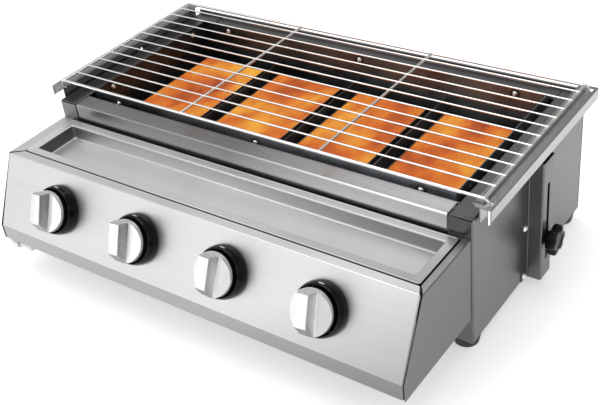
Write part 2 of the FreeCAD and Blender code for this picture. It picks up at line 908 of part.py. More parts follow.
def grate_rail(side):
    """Angle with an outer lip, a plate that hangs beside the body and a tab into the hat."""
    outer = f"({HALF} + hat_stand)"
    top = "foot_height + rail_top"
    middle = "(body_front + hat_centre)"
    long = ("body_front + rail_front", "body_front + rail_back")
    plate_x = across(side, f"{HALF} + plate_offset", f"{HALF} + plate_offset + hat_sheet")
    sheets = fuse(
        box(across(side, "rail_inner", outer), long, (f"{top} - sheet", top)),
        box(across(side, f"{outer} - sheet", outer), long, (f"{top} - lip_drop", top)),
        box(
            plate_x,
            (f"{long[0]} + plate_inset", f"{long[1]} - plate_inset"),
            ("foot_height + plate_low", top),
        ),
        box(plate_x, (f"{middle} - tab_half", f"{middle} + tab_half"), ("foot_height + tab_low", top)),
    )
    slots = [
        box(
            across(side, "leg_slot_inner", "leg_slot_outer"),
            (f"body_front + {spot} - leg_slot_half", f"body_front + {spot} + leg_slot_half"),
            (f"{top} - drill_lead", f"{top} + drill_lead"),
        )
        for spot in ("grate_front", "grate_back")
    ]
    node(f"rail_{side}", cut(sheets, *slots))


def clamp_stud(side):
    """Shouldered stud welded to the rail's tab; its thread passes through the slot."""
    outward = "+X" if side == "right" else "-X"
    y = "body_front + hat_centre"
    z = "foot_height + stud_level"
    seat = f"{HALF} + plate_offset + hat_sheet"
    inside = "hat_stand - plate_offset - 2 * hat_sheet - star_play"
    shoulder = rod("shoulder_radius", inside, out_from(side, seat), y, z, outward)
    thread = rod("stud_radius", "hat_stand - plate_offset - hat_sheet + stud_reach",
                 out_from(side, seat), y, z, outward)
    node(f"clamp_stud_{side}", fuse(shoulder, thread))


def star_knob(side):
    """Lobed clamping knob, bored blind for the stud."""
    outward = "+X" if side == "right" else "-X"
    lobes = [
        rod(
            "lobe_radius",
            "star_height - lobe_drop",
            f"lobe_circle * cos({turn * 360 / STAR_LOBES} deg)",
            f"lobe_circle * sin({turn * 360 / STAR_LOBES} deg)",
            "hub_height",
        )
        for turn in range(STAR_LOBES)
    ]
    core = fuse(
        rod("hub_radius", "hub_height + 1"),
        rod("star_radius", "star_height", z="hub_height"),
        *lobes,
    )
    bore = rod("stud_radius + stem_play", "stud_reach + 1", z="-1")
    recess = rod("hub_radius", "drill_lead", z="hub_height + star_height - 1")
    knob = cut(core, bore, recess)
    x = out_from(side, f"{HALF} + hat_stand + star_play")
    node(f"star_knob_{side}", put(knob, x, "body_front + hat_centre", "foot_height + stud_level", outward))


# ---------------------------------------------------------------- grate

def bend(side, y, level):
    """Quarter turn of a frame wire from a leg into the bar."""
    corner = doc.addObject("Part::Torus", "Bend")
    turn = Rotation(Vector(0, 0, 1), 0 if side == "right" else 180)
    corner.Placement = Placement(Vector(), turn.multiply(Rotation(Vector(1, 0, 0), 90)))
    corner.Angle3 = 90
    return bind(
        corner,
        Radius1="leg_spot - grate_half",
        Radius2="frame_wire",
        Placement__Base__x=out_from(side, "grate_half"),
        Placement__Base__y=y,
        Placement__Base__z=f"{level} - (leg_spot - grate_half)",
    )


def grate():
    """Welded wire grate: two bent end bars, side and cross wires, thin bars on top."""
    level = "(foot_height + grate_level)"
    leg_low = "(foot_height + leg_low)"
    front = "(body_front + grate_front)"
    back = "(body_front + grate_back)"
    wires = []
    for y in (front, back):
        wires.append(rod("frame_wire", "2 * grate_half", "-grate_half", y, level, "+X"))
        for side in SIDES:
            leg_length = f"{level} - (leg_spot - grate_half) - {leg_low}"
            wires.append(rod("frame_wire", leg_length, out_from(side, "leg_spot"), y, leg_low))
            wires.append(bend(side, y, level))
    for side in SIDES:
        for spot in ("grate_half", "cross_wire_spot"):
            wires.append(rod("side_wire", f"{back} - {front}", out_from(side, spot), front, level, "+Y"))
    thin_level = f"{level} + frame_wire + thin_wire - weld"
    for number in range(1, THIN_WIRES + 1):
        y = f"{front} + {number} * (grate_back - grate_front) / {THIN_WIRES + 1}"
        tips = ("2 * (grate_half + wire_overhang)", "-grate_half - wire_overhang")
        wires.append(rod("thin_wire", *tips, y, thin_level, "+X"))
    node("grate", fuse(*wires))


# ---------------------------------------------------------------- feet

def feet():
    parts = []
    for x, y in foot_spots():
        foot = revolved([
            ("foot_bore", "foot_seat"),
            ("foot_counterbore", "foot_seat"),
            ("foot_counterbore", "0"),
            ("foot_low_radius - 1", "0"),
            ("foot_low_radius", "1"),
            ("foot_top_radius", "foot_height - 1"),
            ("foot_top_radius", "foot_height"),
            ("foot_bore", "foot_height"),
        ])
        parts.append(put(foot, x, y))
    node("feet", group(*parts))


def foot_screws():
    screws = []
    for x, y in foot_spots():
        head = put(doc.addObject("Part::Sphere", "Head"), z=f"-head_ball * sin({HEAD_LATITUDE} deg)")
        head.Angle1 = HEAD_LATITUDE
        bind(head, Radius="head_ball")
        reach = "foot_height - foot_seat + foot_thread"
        shank = rod("shank_radius", reach, z=f"head_overlap - ({reach})")
        screws.append(put(fuse(head, shank), x, y, "foot_seat", "-Z"))
    node("foot_screws", group(*screws))


# ---------------------------------------------------------------- assembly

def build():
    make_sheet()
    for side in SIDES:
        side_panel(side)
    back_panel()
    base_plate()
    front_top_rail()
    firebox_cross_wall("front", "body_front + box_front")
    firebox_cross_wall("back", "body_front + box_back")
    for side in SIDES:
        firebox_side_wall(side)
    firebox_bolts()
    for number in range(BURNERS):
        burner_box(number)
        ceramic_tiles(number)
    burner_dividers()
    burner_supports()
    control_panel()
    for side in SIDES:
        housing_side(side)
    housing_top_frame()
    front_tray()
    for number in range(BURNERS):
        knob_bezel(number)
        knob_skirt(number)
        knob_cap(number)
        valve_stem(number)
        valve_body(number)
    injector_jets()
    gas_manifold()
    gas_inlet()
    for side in SIDES:
        hat_bracket(side)
        grate_rail(side)
        clamp_stud(side)
        star_knob(side)
    bracket_screws()
    grate()
    feet()
    foot_screws()
    doc.recompute()


def check():
    """Stop on any object that failed to compute or any sub-part that isn't a valid solid."""
    for thing in doc.Objects:
        if "Invalid" in thing.State or "Error" in thing.State:
            raise RuntimeError(f"{thing.Label} ({thing.Name}) failed: {thing.State}")
    for thing in nodes:
        shape = thing.Shape
        if shape.isNull() or not shape.isValid() or not shape.Solids:
            raise RuntimeError(f"{thing.Label} has no valid solid")


def write():
    os.makedirs("parts", exist_ok=True)
    for thing in nodes:
        thing.Shape.exportStep(f"parts/{thing.Label}.step")
        size = thing.Shape.BoundBox
        print(f"{thing.Label:24s} solids {len(thing.Shape.Solids):3d} volume {thing.Shape.Volume:10.0f} "
              f"x {size.XMin:7.1f} {size.XMax:7.1f} y {size.YMin:7.1f} {size.YMax:7.1f} "
              f"z {size.ZMin:7.1f} {size.ZMax:7.1f}")
    print(len(nodes), "nodes")


build()
check()
write()
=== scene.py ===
"""Looks of a table-top gas grill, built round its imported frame.

Shapes are worked out in millimetres in the frame's own axes and turned into metres when a mesh
is made. Places come from the boxes of the CAD nodes.
"""

import math

import bmesh
import bpy
from mathutils import Matrix, Vector, noise


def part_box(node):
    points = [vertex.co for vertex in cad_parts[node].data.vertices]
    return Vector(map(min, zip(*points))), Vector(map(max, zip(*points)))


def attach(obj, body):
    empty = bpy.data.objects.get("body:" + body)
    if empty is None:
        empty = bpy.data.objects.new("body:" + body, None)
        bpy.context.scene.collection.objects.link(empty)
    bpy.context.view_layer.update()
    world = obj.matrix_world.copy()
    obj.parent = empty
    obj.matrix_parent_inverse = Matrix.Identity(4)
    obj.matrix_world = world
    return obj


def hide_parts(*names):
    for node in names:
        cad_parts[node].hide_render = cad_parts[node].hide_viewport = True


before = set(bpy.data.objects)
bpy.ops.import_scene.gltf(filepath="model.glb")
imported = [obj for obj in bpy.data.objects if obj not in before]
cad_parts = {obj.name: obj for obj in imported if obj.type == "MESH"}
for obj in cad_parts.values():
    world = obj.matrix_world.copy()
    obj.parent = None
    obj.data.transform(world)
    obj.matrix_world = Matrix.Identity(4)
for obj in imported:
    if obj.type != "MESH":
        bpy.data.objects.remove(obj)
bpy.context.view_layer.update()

METRE = 0.001  # one millimetre in metres
SHEET = 1.0
BEND = 1.0  # inside radius of a fold
SIDES = {"left": -1, "right": 1}
BURNERS = (1, 2, 3, 4)
SHARP = 38  # faces that meet at more than this many degrees have a sharp edge
X, Y, Z = Matrix.Identity(3)
LIP = 12  # depth of a turned-down edge
WIRE = 2.0  # radius of the grate's heavy wires
FACE_RUN, FACE_RISE = 45.0, 92.9  # the sloping face, along Y and Z
STRIP = 22.9  # upright strip under it


def corners(node):
    """Lowest and highest corner of a CAD node, in millimetres."""
    low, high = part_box(node)
    return low / METRE, high / METRE


def put(name, data):
    """New object in the scene."""
    thing = bpy.data.objects.new(name, data)
    bpy.context.scene.collection.objects.link(thing)
    return thing


# ---------------------------------------------------------------- camera, floor and light

def make_camera():
    """Three-quarter view from the front right, above, with the slight roll of a hand-held shot."""
    azimuth, elevation, roll = (math.radians(a) for a in (39.15, 34.49, -7.18))
    turns = (azimuth, "Z"), (math.pi / 2 - elevation, "X"), (roll, "Z")
    pan, tilt, lean = (Matrix.Rotation(angle, 4, axis) for angle, axis in turns)
    data = bpy.data.cameras.new("camera")
    data.sensor_width = 36
    data.lens = 61.29
    data.shift_x = 0.0027
    data.shift_y = 0.0014
    data.clip_start = 0.02
    data.clip_end = 50
    camera = put("camera", data)
    camera.matrix_world = pan @ tilt @ lean
    camera.location = Vector((747, -879, 865)) * METRE
    bpy.context.scene.camera = camera


def area_light(name, place, target, size, power):
    data = bpy.data.lights.new(name, "AREA")
    data.shape = "RECTANGLE"
    data.size, data.size_y = size
    data.energy = power
    lamp = put(name, data)
    lamp.location = place
    lamp.rotation_mode = "QUATERNION"
    lamp.rotation_quaternion = (Vector(target) - Vector(place)).to_track_quat("-Z", "Y")


def make_studio():
    """White floor, a bright surround that is darker behind the grill, and three soft boxes."""
    bpy.context.scene.view_settings.view_transform = "Standard"
    world = bpy.data.worlds.new("surround")
    world.use_nodes = True
    bpy.context.scene.world = world
    graph = Graph(world.node_tree)
    where = graph.add("ShaderNodeTexCoord").outputs["Generated"]
    towards = graph.add("ShaderNodeVectorMath", operation="DOT_PRODUCT")
    graph.join(where, towards.inputs[0])
    towards.inputs[1].default_value = Vector((-0.45, -0.75, 0.48))
    glow = graph.spread(towards.outputs["Value"], -0.9, 0.9, 0.35, 1.05)
    background = graph.add("ShaderNodeBackground")
    graph.join(glow, background.inputs["Strength"])
    out = graph.add("ShaderNodeOutputWorld")
    graph.join(background.outputs["Background"], out.inputs["Surface"])

    floor_mesh = bmesh.new()
    bmesh.ops.create_grid(floor_mesh, x_segments=2, y_segments=2, size=20)
    data = bpy.data.meshes.new("floor")
    floor_mesh.to_mesh(data)
    floor_mesh.free()
    floor = put("floor", data)
    floor.location.z = -0.2 * METRE
    data.materials.append(floor_paint())

    area_light("front_box", (-1.3, -2.4, 1.0), (0, -0.1, 0.1), (2.2, 1.6), 9)
    area_light("top_box", (-0.4, 0.3, 2.3), (0, 0, 0.1), (2.4, 1.6), 24)
    area_light("side_box", (2.4, -0.6, 1.3), (0, 0, 0.1), (1.2, 1.4), 3)


# ---------------------------------------------------------------- materials

class Graph:
    """Short ways to add and join the nodes of one tree."""

    def __init__(self, tree):
        self.tree = tree
        tree.nodes.clear()

    def add(self, kind, **settings):
        made = self.tree.nodes.new(kind)
        for key, value in settings.items():
            setattr(made, key, value)
        return made

    def join(self, source, target):
        self.tree.links.new(source, target)

    def spread(self, source, low, high, to_low, to_high):
        """Map a value from one range to another."""
        made = self.add("ShaderNodeMapRange")
        self.join(source, made.inputs["Value"])
        limits = {"From Min": low, "From Max": high, "To Min": to_low, "To Max": to_high}
        for name, value in limits.items():
            made.inputs[name].default_value = value
        return made.outputs["Result"]

    def places(self, stretch=1.0):
        """Object coordinates in metres, multiplied by one number or by one along each axis."""
        where = self.add("ShaderNodeTexCoord").outputs["Object"]
        mapping = self.add("ShaderNodeMapping")
        mapping.inputs["Scale"].default_value = stretch if hasattr(stretch, "__len__") else (stretch,) * 3
        self.join(where, mapping.inputs["Vector"])
        return mapping.outputs["Vector"]

    def noise(self, stretch, detail=4.0, rough=0.6):
        made = self.add("ShaderNodeTexNoise")
        made.inputs["Scale"].default_value = 1.0
        made.inputs["Detail"].default_value = detail
        made.inputs["Roughness"].default_value = rough
        self.join(self.places(stretch), made.inputs["Vector"])
        return made.outputs["Fac"]

    def ramp(self, source, stops):
        made = self.add("ShaderNodeValToRGB")
        self.join(source, made.inputs["Fac"])
        elements = made.color_ramp.elements
        while len(elements) < len(stops):
            elements.new(0.5)
        for element, (place, colour) in zip(elements, stops):
            element.position = place
            element.color = (*colour, 1)
        return made.outputs["Color"]

    def times(self, colour, factor):
        """Colour output multiplied by a value output."""
        made = self.add("ShaderNodeVectorMath", operation="SCALE")
        self.join(colour, made.inputs[0])
        self.join(factor, made.inputs["Scale"])
        return made.outputs["Vector"]

    def multiply(self, first, second):
        made = self.add("ShaderNodeMath", operation="MULTIPLY")
        self.join(first, made.inputs[0])
        self.join(second, made.inputs[1])
        return made.outputs["Value"]

    def facing(self, axis):
        """How far the surface faces along an axis of the object, -1 to 1."""
        parts = self.add("ShaderNodeSeparateXYZ")
        self.join(self.add("ShaderNodeTexCoord").outputs["Normal"], parts.inputs[0])
        return parts.outputs[axis]

    def bend(self, source, stops):
        """A value passed through a curve of (position, value) stops, as a grey ramp."""
        return self.ramp(source, [(place, (value, value, value)) for place, value in stops])

    def coat(self, shader, tint, worn, normal, metal=0.0):
        """Give a shader its colour, roughness and normal."""
        self.join(tint, shader.inputs["Base Color"])
        self.join(worn, shader.inputs["Roughness"])
        self.join(normal, shader.inputs["Normal"])
        shader.inputs["Metallic"].default_value = metal

    def bump(self, height, strength, depth):
        made = self.add("ShaderNodeBump")
        made.inputs["Strength"].default_value = strength
        made.inputs["Distance"].default_value = depth * METRE
        self.join(height, made.inputs["Height"])
        return made.outputs["Normal"]


def material(name):
    """New material with a Principled shader: (material, graph, shader)."""
    made = bpy.data.materials.new(name)
    made.use_nodes = True
    graph = Graph(made.node_tree)
    shader = graph.add("ShaderNodeBsdfPrincipled")
    out = graph.add("ShaderNodeOutputMaterial")
    graph.join(shader.outputs["BSDF"], out.inputs["Surface"])
    return made, graph, shader


def shades(colour, spread):
    """A darker and a lighter version of a colour."""
    return [tuple(c * (1 - spread) for c in colour), tuple(min(1.0, c * (1 + spread)) for c in colour)]


def floor_paint():
    made, graph, shader = material("floor_paint")
    tone = graph.noise(3, 2)
    graph.join(graph.bend(tone, [(0, 0.93), (1, 0.95)]), shader.inputs["Base Color"])
    shader.inputs["Roughness"].default_value = 0.9
    shader.inputs["Emission Color"].default_value = (1, 1, 1, 1)
    shader.inputs["Emission Strength"].default_value = 0.45
    return made


GRAIN_ALONG = 9.0  # noise per metre along the brushing
GRAIN_ACROSS = 1500.0


def brushed(name, colour, roughness=0.34, grain="X", contrast=0.05, smudge=0.05, facing=(), painted_light_ramp=None):
    """Brushed stainless sheet: streaks along one axis, faint clouding and worn sheen.

    facing holds (axis, stops): painted light and shade, a tint by the way a face points, where 0 to 1
    stands for -1 to 1. The ramp (direction, low, high, to) is painted light and shade too: the tint
    turns to a share of itself along a direction, in metres.
    """
    made, graph, shader = material(name)
    stretch = [GRAIN_ALONG if axis == grain else GRAIN_ACROSS for axis in "XYZ"]
    streaks = graph.noise(stretch, 3, 0.75)
    broad = graph.noise([s * 0.12 for s in stretch], 2, 0.5)
    clouds = graph.noise(7, 4, 0.55)
    tint = graph.ramp(streaks, list(zip((0.25, 0.75), shades(colour, contrast))))
    tint = graph.times(tint, graph.spread(clouds, 0.3, 0.7, 1 - smudge, 1 + smudge))
    tint = graph.times(tint, graph.spread(broad, 0.3, 0.7, 1 - contrast / 2, 1 + contrast / 2))
    # painted light and shade: the tint changes with the way a face points
    for axis, stops in facing:
        tint = graph.times(tint, graph.bend(graph.spread(graph.facing(axis), -1, 1, 0, 1), stops))
    # painted light and shade: the tint ramps along a direction
    if painted_light_ramp:
        direction, start, end, to = painted_light_ramp
        along = graph.add("ShaderNodeVectorMath", operation="DOT_PRODUCT")
        graph.join(graph.places(), along.inputs[0])
        along.inputs[1].default_value = Vector(direction)
        tint = graph.times(tint, graph.spread(along.outputs["Value"], start, end, 1, to))
    worn = graph.multiply(
        graph.spread(streaks, 0.2, 0.8, roughness - 0.05, roughness + 0.05),
        graph.spread(clouds, 0.3, 0.7, 0.9, 1.12),
    )
    graph.coat(shader, tint, worn, graph.bump(streaks, 0.25, 0.02), metal=1.0)
    return made


def heated(name, colour, roughness=0.5, painted_left_shade=0.0):
    """Steel near the burners: dull, with heat stains, and with painted shade that deepens towards the left.
    """
    made, graph, shader = material(name)
    clouds = graph.noise((16, 16, 26), 6, 0.65)
    specks = graph.noise(260, 3, 0.6)
    dark, light = shades(colour, 0.35)
    straw = (light[0] * 1.12, light[1] * 1.02, light[2] * 0.85)
    tint = graph.ramp(clouds, [(0.3, dark), (0.55, light), (0.75, straw)])
    tint = graph.times(tint, graph.spread(specks, 0.3, 0.7, 0.86, 1.12))
    # painted shade, deepening towards the left
    if painted_left_shade:
        place = graph.add("ShaderNodeSeparateXYZ")
        graph.join(graph.places(), place.inputs[0])
        tint = graph.times(tint, graph.spread(place.outputs["X"], -0.28, 0.2, 1 - painted_left_shade, 1.0))
    worn = graph.spread(clouds, 0.3, 0.7, roughness - 0.1, roughness + 0.12)
    graph.coat(shader, tint, worn, graph.bump(specks, 0.2, 0.05), metal=0.9)
    return made


def chrome_wire():
    """Bright plated wire with fine drawing marks and a little straw tint."""
    made, graph, shader = material("chrome_wire")
    marks = graph.noise(900, 3, 0.7)
    clouds = graph.noise(30, 3, 0.5)
    tint = graph.ramp(clouds, [(0.3, (0.86, 0.86, 0.87)), (0.75, (0.80, 0.77, 0.73))])
    worn = graph.spread(marks, 0.3, 0.7, 0.10, 0.24)
    graph.coat(shader, tint, worn, graph.bump(marks, 0.15, 0.02), metal=1.0)
    return made


def moulded(name, colour, roughness, sheen_marks=0.04, pebble=0.0, shine=0.5):
    """Plastic or rubber: fine pebble, dust and handling marks in its gloss."""
    made, graph, shader = material(name)
    dust = graph.noise(45, 5, 0.6)
    grit = graph.noise(1800, 2, 0.5)
    dark, light = shades(colour, 0.3)
    tint = graph.ramp(dust, [(0.3, dark), (0.75, light)])
    worn = graph.spread(dust, 0.3, 0.7, roughness - sheen_marks, roughness + sheen_marks)
    graph.coat(shader, tint, worn, graph.bump(grit, 0.02 + pebble, 0.03))
    shader.inputs["Specular IOR Level"].default_value = shine
    return made


def satin_silver():
    """Satin silver of the knob caps: very fine grain across the grip, and painted shade on faces that turn
    downwards.
    """
    made, graph, shader = material("satin_silver")
    grain = graph.noise((900, 40, 40), 2, 0.5)
    clouds = graph.noise(40, 3, 0.5)
    tint = graph.ramp(grain, [(0.2, (0.735, 0.735, 0.745)), (0.8, (0.765, 0.765, 0.775))])
    tint = graph.times(tint, graph.spread(clouds, 0.3, 0.7, 0.96, 1.03))
    # painted shade: faces that turn downwards are darker
    painted_downward_shade = [(0.25, 0.30), (0.42, 0.48), (0.5, 0.70), (0.62, 0.86), (0.72, 1.0)]
    tint = graph.times(tint, graph.bend(graph.spread(graph.facing("Z"), -1, 1, 0, 1), painted_downward_shade))
    worn = graph.spread(grain, 0.2, 0.8, 0.26, 0.30)
    graph.coat(shader, tint, worn, graph.bump(grain, 0.01, 0.004), metal=1.0)
    return made


def cast_brass():
    made, graph, shader = material("cast_brass")
    clouds = graph.noise(60, 5, 0.6)
    pits = graph.noise(700, 3)
    tint = graph.ramp(clouds, [(0.3, (0.45, 0.33, 0.14)), (0.7, (0.68, 0.53, 0.27))])
    worn = graph.spread(clouds, 0.3, 0.7, 0.25, 0.45)
    graph.coat(shader, tint, worn, graph.bump(pits, 0.2, 0.03), metal=1.0)
    return made


def glowing_ceramic():
    """Perforated ceramic at red to yellow heat: dark pin-holes in a glowing face."""
    made, graph, shader = material("glowing_ceramic")
    holes = graph.add("ShaderNodeTexVoronoi", feature="F1", voronoi_dimensions="2D")
    holes.inputs["Scale"].default_value = 1.0
    holes.inputs["Randomness"].default_value = 0.15
    graph.join(graph.places((480, 480, 0)), holes.inputs["Vector"])
    rim = graph.spread(holes.outputs["Distance"], 0.22, 0.36, 0.25, 1.0)
    heat = graph.noise((13, 9, 1), 4, 0.6)
    red, orange, yellow = (0.50, 0.05, 0.008), (0.95, 0.19, 0.012), (1.0, 0.47, 0.04)
    hot = graph.ramp(heat, [(0.28, red), (0.46, orange), (0.66, yellow)])
    graph.join(graph.times(hot, rim), shader.inputs["Emission Color"])
    graph.join(graph.spread(heat, 0.3, 0.7, 0.55, 1.0), shader.inputs["Emission Strength"])
    graph.join(graph.ramp(heat, [(0.3, (0.06, 0.016, 0.006)), (0.7, (0.11, 0.035, 0.01))]),
               shader.inputs["Base Color"])
    graph.join(graph.bump(rim, 0.6, 0.4), shader.inputs["Normal"])
    shader.inputs["Roughness"].default_value = 0.85
    return made


# ---------------------------------------------------------------- outlines

def fillet(points, radius_at, steps=5):
    """Round the inner corners of an open outline.

    radius_at(left) gives a corner's radius; left is above zero where the outline turns left.
    """
    points = [Vector(p) for p in points]
    rounded = [points[0]]
    for before, corner, after in zip(points, points[1:], points[2:]):
        first, second = (before - corner), (after - corner)
        bend = math.pi - first.angle(second)
        if bend < 0.01:
            rounded.append(corner)
            continue
        left = (corner - before).x * (after - corner).y - (corner - before).y * (after - corner).x
        reach = radius_at(left) * math.tan(bend / 2)
        reach = min(reach, 0.49 * first.length, 0.49 * second.length)
        start, end = corner + first.normalized() * reach, corner + second.normalized() * reach
        for step in range(steps + 1):
            share = step / steps
            # a rational quadratic curve with this middle weight is an exact arc
            weight = math.cos(bend / 2)
            a, b, c = (1 - share) ** 2, 2 * weight * share * (1 - share), share ** 2
            rounded.append((start * a + corner * b + end * c) / (a + b + c))
    rounded.append(points[-1])
    return rounded


def left_normals(points):
    """Unit normals on the left of an open outline."""
    normals = []
    for before, here, after in zip([points[0], *points], points, [*points[1:], points[-1]]):
        run = Vector((0.0, 0.0))
        for step in (here - before, after - here):
            if step.length > 1e-9:
                run += step.normalized()
        run.normalize()
        normals.append(Vector((-run.y, run.x)))
    return normals


def rounded_box(x, y, radius, steps=6):
    """Closed outline of a box with round corners, as (x, y) points."""
    points = []
    middles = ((x[1], y[1], 0), (x[0], y[1], 90), (x[0], y[0], 180), (x[1], y[0], 270))
    for cx, cy, start in middles:
        inner_x = cx - math.copysign(radius, cx - (x[0] + x[1]) / 2)
        inner_y = cy - math.copysign(radius, cy - (y[0] + y[1]) / 2)
        for step in range(steps + 1):
            angle = math.radians(start + 90 * step / steps)
            points.append((inner_x + radius * math.cos(angle), inner_y + radius * math.sin(angle)))
    return points


# ---------------------------------------------------------------- mesh making

def loft(bm, loops, caps="fan"):
    """Skin closed loops of equal length. caps is fan, strip (for a sheet's section) or none."""
    rings = [[bm.verts.new(point) for point in loop] for loop in loops]
    count = len(rings[0])
    for lower, upper in zip(rings, rings[1:]):
        for index in range(count):
            after = (index + 1) % count
            bm.faces.new((lower[index], lower[after], upper[after], upper[index]))
    if caps == "fan":
        bm.faces.new(list(reversed(rings[0])))
        bm.faces.new(rings[-1])
    if caps == "strip":
        for ring, flip in ((rings[0], True), (rings[-1], False)):
            for index in range(count // 2 - 1):
                face = [ring[index], ring[index + 1], ring[count - 2 - index], ring[count - 1 - index]]
                bm.faces.new(list(reversed(face)) if flip else face)


def folded(bm, path, place, low, high, thickness=SHEET, bend=BEND, roll=0.0):
    """Sheet folded along an outline. The outline is its outer face; the metal lies on its left.

    place(u, v, w) turns section coordinates and the distance along the fold into a point. low and
    high are the sheet's ends: numbers, or functions of a section point. With roll, they curl in.
    """
    outer = fillet(path, lambda left: bend + thickness if left > 0 else bend)
    normals = left_normals(outer)
    if roll:
        turns = [math.radians(a) for a in (90, 60, 30, 0)]
        ends = [
            (roll - roll * math.sin(a), roll - roll * math.cos(a),
             roll - (roll - thickness) * math.sin(a), roll - (roll - thickness) * math.cos(a))
            for a in turns
        ]
    else:
        soft = thickness * 0.25
        ends = [(0, soft, 0, thickness - soft), (soft, 0, soft, thickness)]
    loops = []
    for from_low in (True, False):
        for w_out, d_out, w_in, d_in in (ends if from_low else reversed(ends)):
            ring = []
            for way, distance, depth in ((1, w_out, d_out), (-1, w_in, d_in)):
                for point, normal in list(zip(outer, normals))[::way]:
                    limit = low if from_low else high
                    end = limit(*point) if callable(limit) else limit
                    end += distance if from_low else -distance
                    spot = point + normal * depth
                    ring.append(place(spot.x, spot.y, end))
            loops.append(ring)
    loft(bm, loops, "strip")
    return bm


def along_x(u, v, w):
    return Vector((w, u, v))


def along_y(u, v, w):
    return Vector((u, w, v))


def along_z(u, v, w):
    return Vector((u, v, w))


def seated(origin, across, upward, outward):
    """Place function of a frame of its own."""

    def place(x, y, height):
        return origin + across * x + upward * y + outward * height

    return place


def lathe(bm, profile, place, segments=72, round_by=0.6, steps=4):
    """Turned piece: profile is a closed ring of (radius, height) points, none on the axis."""
    ring = fillet([profile[-1], *profile, profile[0]], lambda left: round_by, steps)[1:-1]
    loops = []
    for index in range(segments):
        angle = math.tau * index / segments
        loops.append([place(p.x * math.cos(angle), p.x * math.sin(angle), p.y) for p in ring])
    loft(bm, [*loops, loops[0]], "none")
    bmesh.ops.remove_doubles(bm, verts=bm.verts, dist=1e-4)
    return bm


def tube(bm, points, radius, sides=14):
    """Round wire through points, with rounded ends."""
    points = [Vector(p) for p in points]
    runs = [(b - a).normalized() for a, b in zip(points, points[1:])]
    turning = [runs[0], *[(a + b).normalized() for a, b in zip(runs, runs[1:])], runs[-1]]
    side = turning[0].orthogonal().normalized()
    stations = []
    for point, run in zip(points, turning):
        side = (side - run * side.dot(run)).normalized()
        stations.append((point, run, side, radius))
    tips = [(0.0, 0.35), (0.45, 0.8), (1.0, 1.0)]  # (share of the tip's length, share of the radius)
    tip_length = 0.6 * radius

    def tip(station, way, steps):
        point, run, across, _ = station
        return [(point + way * run * tip_length * (a - 1), run, across, radius * b) for a, b in steps]

    loops = []
    ends = tip(stations[0], 1, tips), tip(stations[-1], -1, reversed(tips))
    for point, run, across, size in [*ends[0], *stations[1:-1], *ends[1]]:
        up = run.cross(across)
        loops.append([
            point + size * (math.cos(math.tau * i / sides) * across + math.sin(math.tau * i / sides) * up)
            for i in range(sides)
        ])
    loft(bm, loops)
    return bm


def blob(bm, centre, size):
    """Small weld bead."""
    made = bmesh.ops.create_icosphere(bm, subdivisions=2, radius=1.0)
    for vert in made["verts"]:
        bulge = 1 + 0.12 * noise.noise(vert.co * 1.7 + centre * 0.37)
        vert.co = centre + Vector(c * s for c, s in zip(vert.co, size)) * bulge


def absorb(bm, part):
    """Add one mesh in the making to another."""
    data = bpy.data.meshes.new("part")
    part.to_mesh(data)
    part.free()
    bm.from_mesh(data)
    bpy.data.meshes.remove(data)


def slab(outline, place, depths):
    """Closed slab: an outline placed at each of some depths."""
    bm = bmesh.new()
    loft(bm, [[place(u, v, depth) for u, v in outline] for depth in depths])
    return bm


def flatten_normals(thing):
    """Shade flat faces flat and folds round, by giving large faces the say over their corners."""
    weigh = thing.modifiers.new("flat_faces", "WEIGHTED_NORMAL")
    weigh.mode = "FACE_AREA"
    weigh.weight = 90
    weigh.keep_sharp = True


def smooth(data, angle):
    """Shade a mesh smooth, with sharp edges where faces meet at more than an angle in degrees."""
    data.shade_smooth()
    data.set_sharp_from_angle(angle=math.radians(angle))


def solid(name, bm):
    """Object whose mesh, in metres, is one made in millimetres."""
    bmesh.ops.recalc_face_normals(bm, faces=bm.faces)
    bmesh.ops.scale(bm, vec=Vector((METRE,) * 3), verts=bm.verts)
    data = bpy.data.meshes.new(name)
    bm.to_mesh(data)
    bm.free()
    return put(name, data)


def piece(name, bm, paint, body="root", replaces=(), angle=SHARP):
    """Turn a mesh in millimetres into a piece that rides on a body."""
    made = solid(name, bm)
    smooth(made.data, angle)
    made.data.materials.append(paint)
    flatten_normals(made)
    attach(made, body)
    if replaces:
        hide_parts(*replaces)
    return made


def skin(node, bm, paint, body="root", angle=SHARP):
    """Piece that stands for one CAD node."""
    return piece(f"{node}_skin", bm, paint, body, [node], angle)


def dress(node, paint, soften=0.0, angle=35):
    """Give a CAD node its material, smooth shading and softened edges."""
    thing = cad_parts[node]
    thing.data.materials.clear()
    thing.data.materials.append(paint)
    smooth(thing.data, angle)
    if soften:
        bevel = thing.modifiers.new("soft_edges", "BEVEL")
        bevel.width = soften * METRE
        bevel.segments = 2
        bevel.limit_method = "ANGLE"
        bevel.angle_limit = math.radians(40)
        flatten_normals(thing)


def carve(thing, cutters):
    """Cut closed meshes, given as bmeshes in millimetres, out of a piece."""
    for index, cutter in enumerate(cutters):
        tool = solid(f"cutter_{index}", cutter)
        data = tool.data
        modifier = thing.modifiers.new("cut", "BOOLEAN")
        modifier.operation = "DIFFERENCE"
        modifier.object = tool
        bpy.context.view_layer.update()
        shown = thing.evaluated_get(bpy.context.evaluated_depsgraph_get())
        carved = bpy.data.meshes.new_from_object(shown)
        thing.modifiers.clear()
        old, thing.data = thing.data, carved
        carved.name = thing.name
        bpy.data.meshes.remove(old)
        bpy.data.objects.remove(tool)
        bpy.data.meshes.remove(data)
    smooth(thing.data, SHARP)
    flatten_normals(thing)


# ---------------------------------------------------------------- sheet metal

